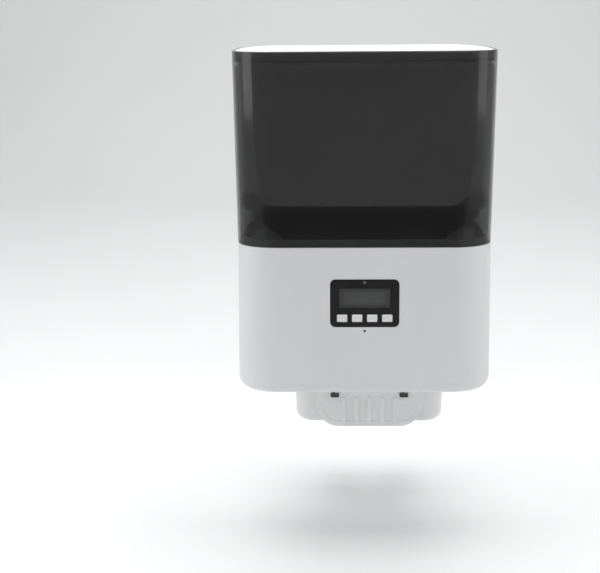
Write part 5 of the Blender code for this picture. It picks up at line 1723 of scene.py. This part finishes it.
@dataclass
class Clamp:
    """The bracket inside the crate with its bolts, thumb nuts and wire clips."""

    shop: Workshop
    thickness: float = 0.003
    bar_width: float = 0.176
    bar_height: float = 0.034
    tongue_radius: float = 0.0255
    tongue_width: float = 0.118
    shelf_thickness: float = 0.0018
    shelf_radius: float = 0.006
    rail_width: float = 0.002
    rail_height: float = 0.0012
    rib_count: int = 5
    rib_width: float = 0.0046
    rib_pitch: float = 0.0143
    rib_height: float = 0.0298
    rib_proud: float = 0.0016
    rib_lift: float = 0.0035
    bead_inset: float = 0.0040
    bead_width: float = 0.0014
    bead_proud: float = 0.0010
    edge: float = 0.00035
    bolt_radius: float = 0.003
    adjust: float = 0.0145
    window_margin: float = 0.004
    nut_collar: float = 0.008
    wing_thickness: float = 0.004
    thread_pitch: float = 0.0010
    knurls: int = 28
    steps: int = 20
    box: Extent = field(init=False)
    front: float = field(init=False)
    shift: float = field(init=False)
    foot: float = field(init=False)

    def __post_init__(self) -> None:
        """Reads the bracket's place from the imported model."""
        self.box = Extent.of("bowl_bracket")
        self.front = self.box.low.y + self.rib_proud
        self.shift = self.box.centre.x
        self.foot = self.tongue_width / 2 - self.tongue_radius

    def build(self) -> None:
        """Builds the clamp."""
        self._bracket()
        for side in ("left", "right"):
            self._clip(side)
            self._bolt(side)
            self._nut(side)

    def _corner(self, inset: float, side: int = 1) -> list[Flat]:
        """Points round a lower corner of the tongue, from its foot to its side.

        Args:
            inset: How far they are drawn in from the edge.
            side: Minus one for the left corner, one for the right.

        Returns:
            The points.
        """
        radius = self.tongue_radius - inset
        points = []
        for step in range(self.steps + 1):
            angle = math.pi / 2 * step / self.steps
            x = self.foot + radius * math.sin(angle)
            z = self.box.low.z + self.tongue_radius - radius * math.cos(angle)
            points.append((self.shift + side * x, z))
        return points

    def _foot_line(self, inset: float) -> list[Flat]:
        """Points along the tongue's foot, from its left side round both corners to its right."""
        return self._corner(inset, -1)[::-1] + self._corner(inset)

    def _bracket(self) -> None:
        """The bar and tongue with its shelf, rails, ribs and bead."""
        bar, high, half = self.bar_width / 2, self.bar_height / 2, self.tongue_width / 2
        right = self._corner(0) + [(self.shift + x, z) for x, z in ((half, -high), (bar, -high), (bar, high))]
        outline = right + [(2 * self.shift - x, z) for x, z in reversed(right)]
        back = self.front + self.thickness
        inner = self.front + self.thickness / 2
        low = self.box.low.z
        shelf_top = low + self.shelf_thickness
        bracket = prism("bracket", outline, Axis.Y, (self.front, back))
        shapes = [block("shelf", (self.shift - self.foot, inner), (self.shift + self.foot, self.box.high.y),
                        self.shelf_radius, Axis.Z, (low + GAP / 2, shelf_top), 0.0002)]
        for side in (-1, 1):
            x = self.shift + side * (self.foot - self.rail_width)
            shapes.append(block("rail", (x - self.rail_width / 2, inner),
                                (x + self.rail_width / 2, self.box.high.y - self.shelf_radius), 0.0005,
                                Axis.Z, (shelf_top - GAP, shelf_top + self.rail_height), 0.0002))
        strip = self._foot_line(self.bead_inset) + self._foot_line(self.bead_inset + self.bead_width)[::-1]
        shapes.append(prism("bead", strip, Axis.Y, (self.front - self.bead_proud, inner)))
        rib = block("rib", (-self.rib_width / 2, 0), (self.rib_width / 2, self.rib_height), 0.001, Axis.Y,
                    (-self.rib_proud, self.thickness / 2), 0.0004)
        start = (self.shift - self.rib_pitch * (self.rib_count - 1) / 2, self.front, low + self.rib_lift)
        shapes.append(self.shop.copies.make("ribs", rib, self.rib_count, start, (self.rib_pitch, 0, 0)))
        fuse(bracket, *shapes)
        cut(bracket, *self._openings(back))
        bracket.data = cleaned(bracket.data, "bracket_plate", BRACKET_FLAT)
        bevelled(bracket, self.edge, 3, BRACKET_SHARP)
        bracket.name = "bracket_plate"
        dress(bracket, Body.BASE, self.shop.finishes.bracket, ["bowl_bracket"])

    def _openings(self, back: float) -> list[bpy.types.Object]:
        """The two slots for the bolts, and the window for the chute.

        Args:
            back: Depth of the bracket's back face.

        Returns:
            The shapes to cut.
        """
        reach = self.adjust + self.bolt_radius + GAP
        tall = self.bolt_radius + GAP
        ends = (self.front - 0.002, back + 0.002)
        shapes = []
        for side in ("left", "right"):
            x = self.shift + Extent.of(f"clamp_bolt_{side}").centre.x
            shapes.append(block("slot", (x - reach, -tall), (x + reach, tall), self.bolt_radius, Axis.Y,
                                ends, 0.00005, 10))
        run, margin = ChuteRun(), self.window_margin
        low, high = run.floor(back) - margin, run.floor(self.front) + run.height + margin
        half = run.half_width + self.adjust + margin / 2
        shapes.append(block("window", (self.shift - half, low), (self.shift + half, high), margin, Axis.Y,
                            ends, 0.00005, 10))
        return shapes

    def _clip(self, side: str) -> None:
        """A hook that grips one crate wire."""
        node = f"wire_clip_{side}"
        dress(softened(node, 0.0003, 3), Body.BASE, self.shop.finishes.black, [node])

    def _bolt(self, side: str) -> None:
        """A hexagon-headed bolt with a rolled thread.

        Args:
            side: Left or right.
        """
        node = f"clamp_bolt_{side}"
        box = Extent.of(node)
        x, z = box.centre.x, box.centre.z
        radius = self.bolt_radius
        head = turned("head", Axis.Y, (x, z), [
            (box.low.y, radius * 1.6, 0), (box.low.y + 0.0005, radius * 2, 0.0001),
            (-WALL - GAP, radius * 2, 0)], 6)
        shank = turned("shank", Axis.Y, (x, z), [
            (box.low.y + 0.002, radius * 0.86, 0), (box.high.y - 0.0006, radius * 0.86, 0.0001),
            (box.high.y, radius * 0.6, 0)], 32)
        ridge = self.shop.thread.make("ridge", radius * 0.84, self.thread_pitch, box.high.y - 0.0012,
                                      (x, GAP, z), (-math.pi / 2, 0, 0))
        dress(joined(f"{node}_threaded", [head, shank, ridge]), Body.BASE,
              self.shop.finishes.steel, [node])

    def _nut(self, side: str) -> None:
        """A nut with two wings and a knurled collar.

        Args:
            side: Left or right.
        """
        node = f"thumb_nut_{side}"
        box = Extent.of(node)
        x, z = box.centre.x, box.centre.z
        radius = box.size.z / 2
        body, bore, thick = radius - 0.0004, self.bolt_radius + GAP, self.wing_thickness / 2
        low, high = box.low.y, box.low.y + self.nut_collar
        nut = turned("nut", Axis.Y, (x, z), [
            (low, radius - 0.0010, 0), (low, body, 0.0003), (low + 0.0012, body, 0.0003),
            (high - 0.0010, body, 0.0005), (high, radius * 0.72, 0.0003), (high, radius * 0.6, 0)], 48)
        wings = block("wings", (box.low.x, z - thick), (box.high.x, z + thick), thick * 0.9, Axis.Y,
                      (low + 0.002, box.high.y), 0.0006)
        fuse(nut, wings)
        cut(nut, turned("bore", Axis.Y, (x, z), [(low - 0.001, bore, 0), (box.high.y + 0.001, bore, 0)], 32))
        bar = block("bar", (radius - 0.0009, -0.0003), (radius - 0.0001, 0.0003), 0.0002, Axis.Y,
                    (0, 0.005), 0.0001, 2)
        knurl = self.shop.copies.make("knurl", bar, self.knurls, (x, low + 0.0014, z), (0, 0, 0), (0, 1, 0),
                                      2 * math.pi / self.knurls)
        nut.name = f"{node}_body"
        dress(joined(f"{node}_knurled", [nut, knurl]), node, self.shop.finishes.black, [node])


@dataclass
class Bowl:
    """The frosted food bowl on the bracket's shelf."""

    shop: Workshop
    wall: float = 0.0024
    radius: float = 0.022
    draft: float = 0.003
    fillet: float = 0.009
    rail_height: float = 0.0012
    foot_half: float = 0.0302
    foot_depth: float = 0.0595
    foot_radius: float = 0.004
    rim: float = 0.0008
    rim_band: float = 0.004
    ease: float = 0.003
    steps: int = 16
    box: Extent = field(init=False)

    def __post_init__(self) -> None:
        """Reads the bowl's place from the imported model."""
        self.box = Extent.of("bowl")

    @property
    def bottom(self) -> float:
        """Height of the bowl's underside, above its foot."""
        return self.box.low.z + self.rail_height

    def _ring(self, z: float, inset: float) -> Ring:
        """The outline at one height, where the walls lean out towards the rim.

        Args:
            z: The height.
            inset: How far it is drawn in from the wall.

        Returns:
            The ring.
        """
        share = (z - self.bottom) / (self.box.high.z - self.bottom)
        lean = self.draft * (1 - share)
        outline = rounded_outline((self.box.low.x + lean + inset, self.box.low.y + inset),
                                  (self.box.high.x - lean - inset, self.box.high.y - lean - inset),
                                  self.radius - inset, self.steps, self.ease)
        return [(x, y, z) for x, y in outline]

    def _fillet(self, radius: float, inset: float, low: float) -> list[Ring]:
        """Rings up a rounded lower edge.

        Args:
            radius: Radius of the edge.
            inset: How far the wall's face is drawn in.
            low: Height of its lowest ring.

        Returns:
            The rings.
        """
        rings = []
        steps = self.steps // 2
        for step in range(steps + 1):
            angle = math.pi / 2 * step / steps
            rings.append(self._ring(low + radius * (1 - math.cos(angle)),
                                    inset + radius * (1 - math.sin(angle))))
        return rings

    def build(self) -> None:
        """Builds the bowl."""
        top, wall = self.box.high.z, self.wall
        shoulder = top - self.rim_band
        rim = rounded_stack([(self._ring(shoulder, 0), 0.0), (self._ring(top, 0), self.rim),
                             (self._ring(top, wall), self.rim), (self._ring(shoulder, wall), 0.0)], 4)
        inside = self._fillet(self.fillet - wall / 2, wall, self.bottom + wall)
        rings = self._fillet(self.fillet, 0, self.bottom) + rim + inside[::-1]
        bowl = loft("bowl_shell", rings)
        centre = self.box.centre.x
        front = self.box.low.y + self.fillet
        foot = block("foot", (centre - self.foot_half, front),
                     (centre + self.foot_half, front + self.foot_depth), self.foot_radius, Axis.Z,
                     (self.box.low.z, self.bottom + wall / 2))
        fuse(bowl, foot)
        bowl.name = "bowl_moulded"
        dress(bowl, Body.BOWL, self.shop.finishes.frosted, ["bowl"])


# ---- studio ------------------------------------------------------------------------------------------
@dataclass
class Studio:
    """A pale seamless floor, soft lights and the camera."""

    floor: float = -0.245
    near_edge: float = -1.9
    sweep_start: float = 2.4
    sweep_radius: float = 0.8
    camera_place: Point = (-0.0266, -1.5175, 0.3094)
    camera_pitch: float = 11.4
    camera_yaw: float = 1.55
    camera_roll: float = -0.41
    lens: float = 84.87
    dark: float = 0.12
    pale: float = 0.62
    dark_until: float = -0.9
    pale_from: float = 0.3
    wall_top: float = 3.0
    half_width: float = 4.0

    def build(self) -> None:
        """Builds the stage, the lights and the camera."""
        self._backdrop()
        self._world()
        self._light("top_softbox", (0.0, -0.10, 1.55), (0.0, -0.08, 0.0), (1.8, 1.4), 24.0)
        self._light("left_softbox", (-1.5, -0.45, 0.65), (0.0, -0.08, 0.05), (0.9, 1.3), 8.0)
        self._light("right_softbox", (1.5, -0.45, 0.65), (0.0, -0.08, 0.05), (0.9, 1.3), 6.0)
        self._light("front_fill", (0.15, -2.3, 1.3), (0.0, -0.08, 0.0), (1.6, 1.2), 9.0)
        self._light("wall_wash", (0.0, 1.7, 2.4), (0.0, 3.2, 0.4), (3.0, 1.0), 34.0)
        self._camera()

    def _backdrop(self) -> None:
        """A floor that curves up into a wall behind the feeder."""
        profile = [(self.near_edge, self.floor), (self.sweep_start, self.floor)]
        steps = 24
        for step in range(1, steps + 1):
            angle = math.pi / 2 * step / steps
            profile.append((self.sweep_start + self.sweep_radius * math.sin(angle),
                            self.floor + self.sweep_radius * (1 - math.cos(angle))))
        profile.append((self.sweep_start + self.sweep_radius, self.wall_top))
        bm = bmesh.new()
        rows = [[bm.verts.new((x, y, z)) for y, z in profile] for x in (-self.half_width, self.half_width)]
        for i in range(len(profile) - 1):
            bm.faces.new((rows[0][i], rows[1][i], rows[1][i + 1], rows[0][i + 1]))
        mesh = bpy.data.meshes.new("backdrop")
        bm.to_mesh(mesh)
        bm.free()
        mesh.shade_smooth()
        backdrop = as_object("backdrop", mesh)
        shader = Shader("backdrop_paper")
        tone = shader.noise(shader.place(), 3.0, 2.0)
        backdrop.data.materials.append(shader.surface({
            "Base Color": shader.mix(tone, (0.78, 0.78, 0.78), (0.81, 0.81, 0.81)), "Roughness": 0.9}))

    def _world(self) -> None:
        """A pale surround that darkens towards the side the camera stands on."""
        world = bpy.data.worlds.new("surround")
        world.use_nodes = True
        tree = world.node_tree
        place = add_node(tree, "ShaderNodeTexCoord")
        split = add_node(tree, "ShaderNodeSeparateXYZ", None, {0: place.outputs["Generated"]})
        shade = add_node(tree, "ShaderNodeMapRange", None, {
            "Value": split.outputs["Y"], "From Min": self.dark_until, "From Max": self.pale_from,
            "To Min": self.dark, "To Max": self.pale})
        background = tree.nodes["Background"]
        background.inputs["Color"].default_value = (0.96, 0.98, 1.0, 1.0)
        tree.links.new(shade.outputs[0], background.inputs["Strength"])
        bpy.context.scene.world = world

    def _light(self, name: str, place: Point, target: Point, size: Flat, power: float) -> None:
        """Adds one rectangular soft light.

        Args:
            name: Name of the light.
            place: Its centre.
            target: The point that it faces.
            size: Its width and height.
            power: Its power in watts.
        """
        lamp = bpy.data.lights.new(name, "AREA")
        lamp.shape = "RECTANGLE"
        lamp.size, lamp.size_y = size
        lamp.energy = power
        obj = bpy.data.objects.new(name, lamp)
        obj.location = place
        aim = Vector(target) - Vector(place)
        obj.rotation_euler = aim.to_track_quat("-Z", "Y").to_euler()
        bpy.context.scene.collection.objects.link(obj)

    def _camera(self) -> None:
        """The camera, a little above the feeder and turned a little to its left."""
        data = bpy.data.cameras.new("camera")
        data.lens = self.lens
        data.sensor_width = 36.0
        camera = bpy.data.objects.new("camera", data)
        turn = (Matrix.Rotation(math.radians(self.camera_yaw), 4, "Z")
                @ Matrix.Rotation(math.radians(90 - self.camera_pitch), 4, "X")
                @ Matrix.Rotation(math.radians(self.camera_roll), 4, "Z"))
        camera.matrix_world = Matrix.Translation(self.camera_place) @ turn
        bpy.context.scene.collection.objects.link(camera)
        bpy.context.scene.camera = camera
        bpy.context.scene.view_settings.view_transform = "Standard"


def main() -> None:
    """Builds the feeder piece by piece."""
    logging.basicConfig(level=logging.INFO, format="%(name)s %(message)s")
    Studio().build()
    shop = Workshop()
    casing = Casing()
    for assembly in (Hopper(shop, casing), Lid(shop, casing), Base(shop, casing), Deck(shop),
                     ControlPanel(shop), Metering(shop), Chute(shop), Electrics(shop), Clamp(shop),
                     Bowl(shop)):
        LOG.info("building %s", type(assembly).__name__)
        assembly.build()


if __name__ == "__main__":
    main()
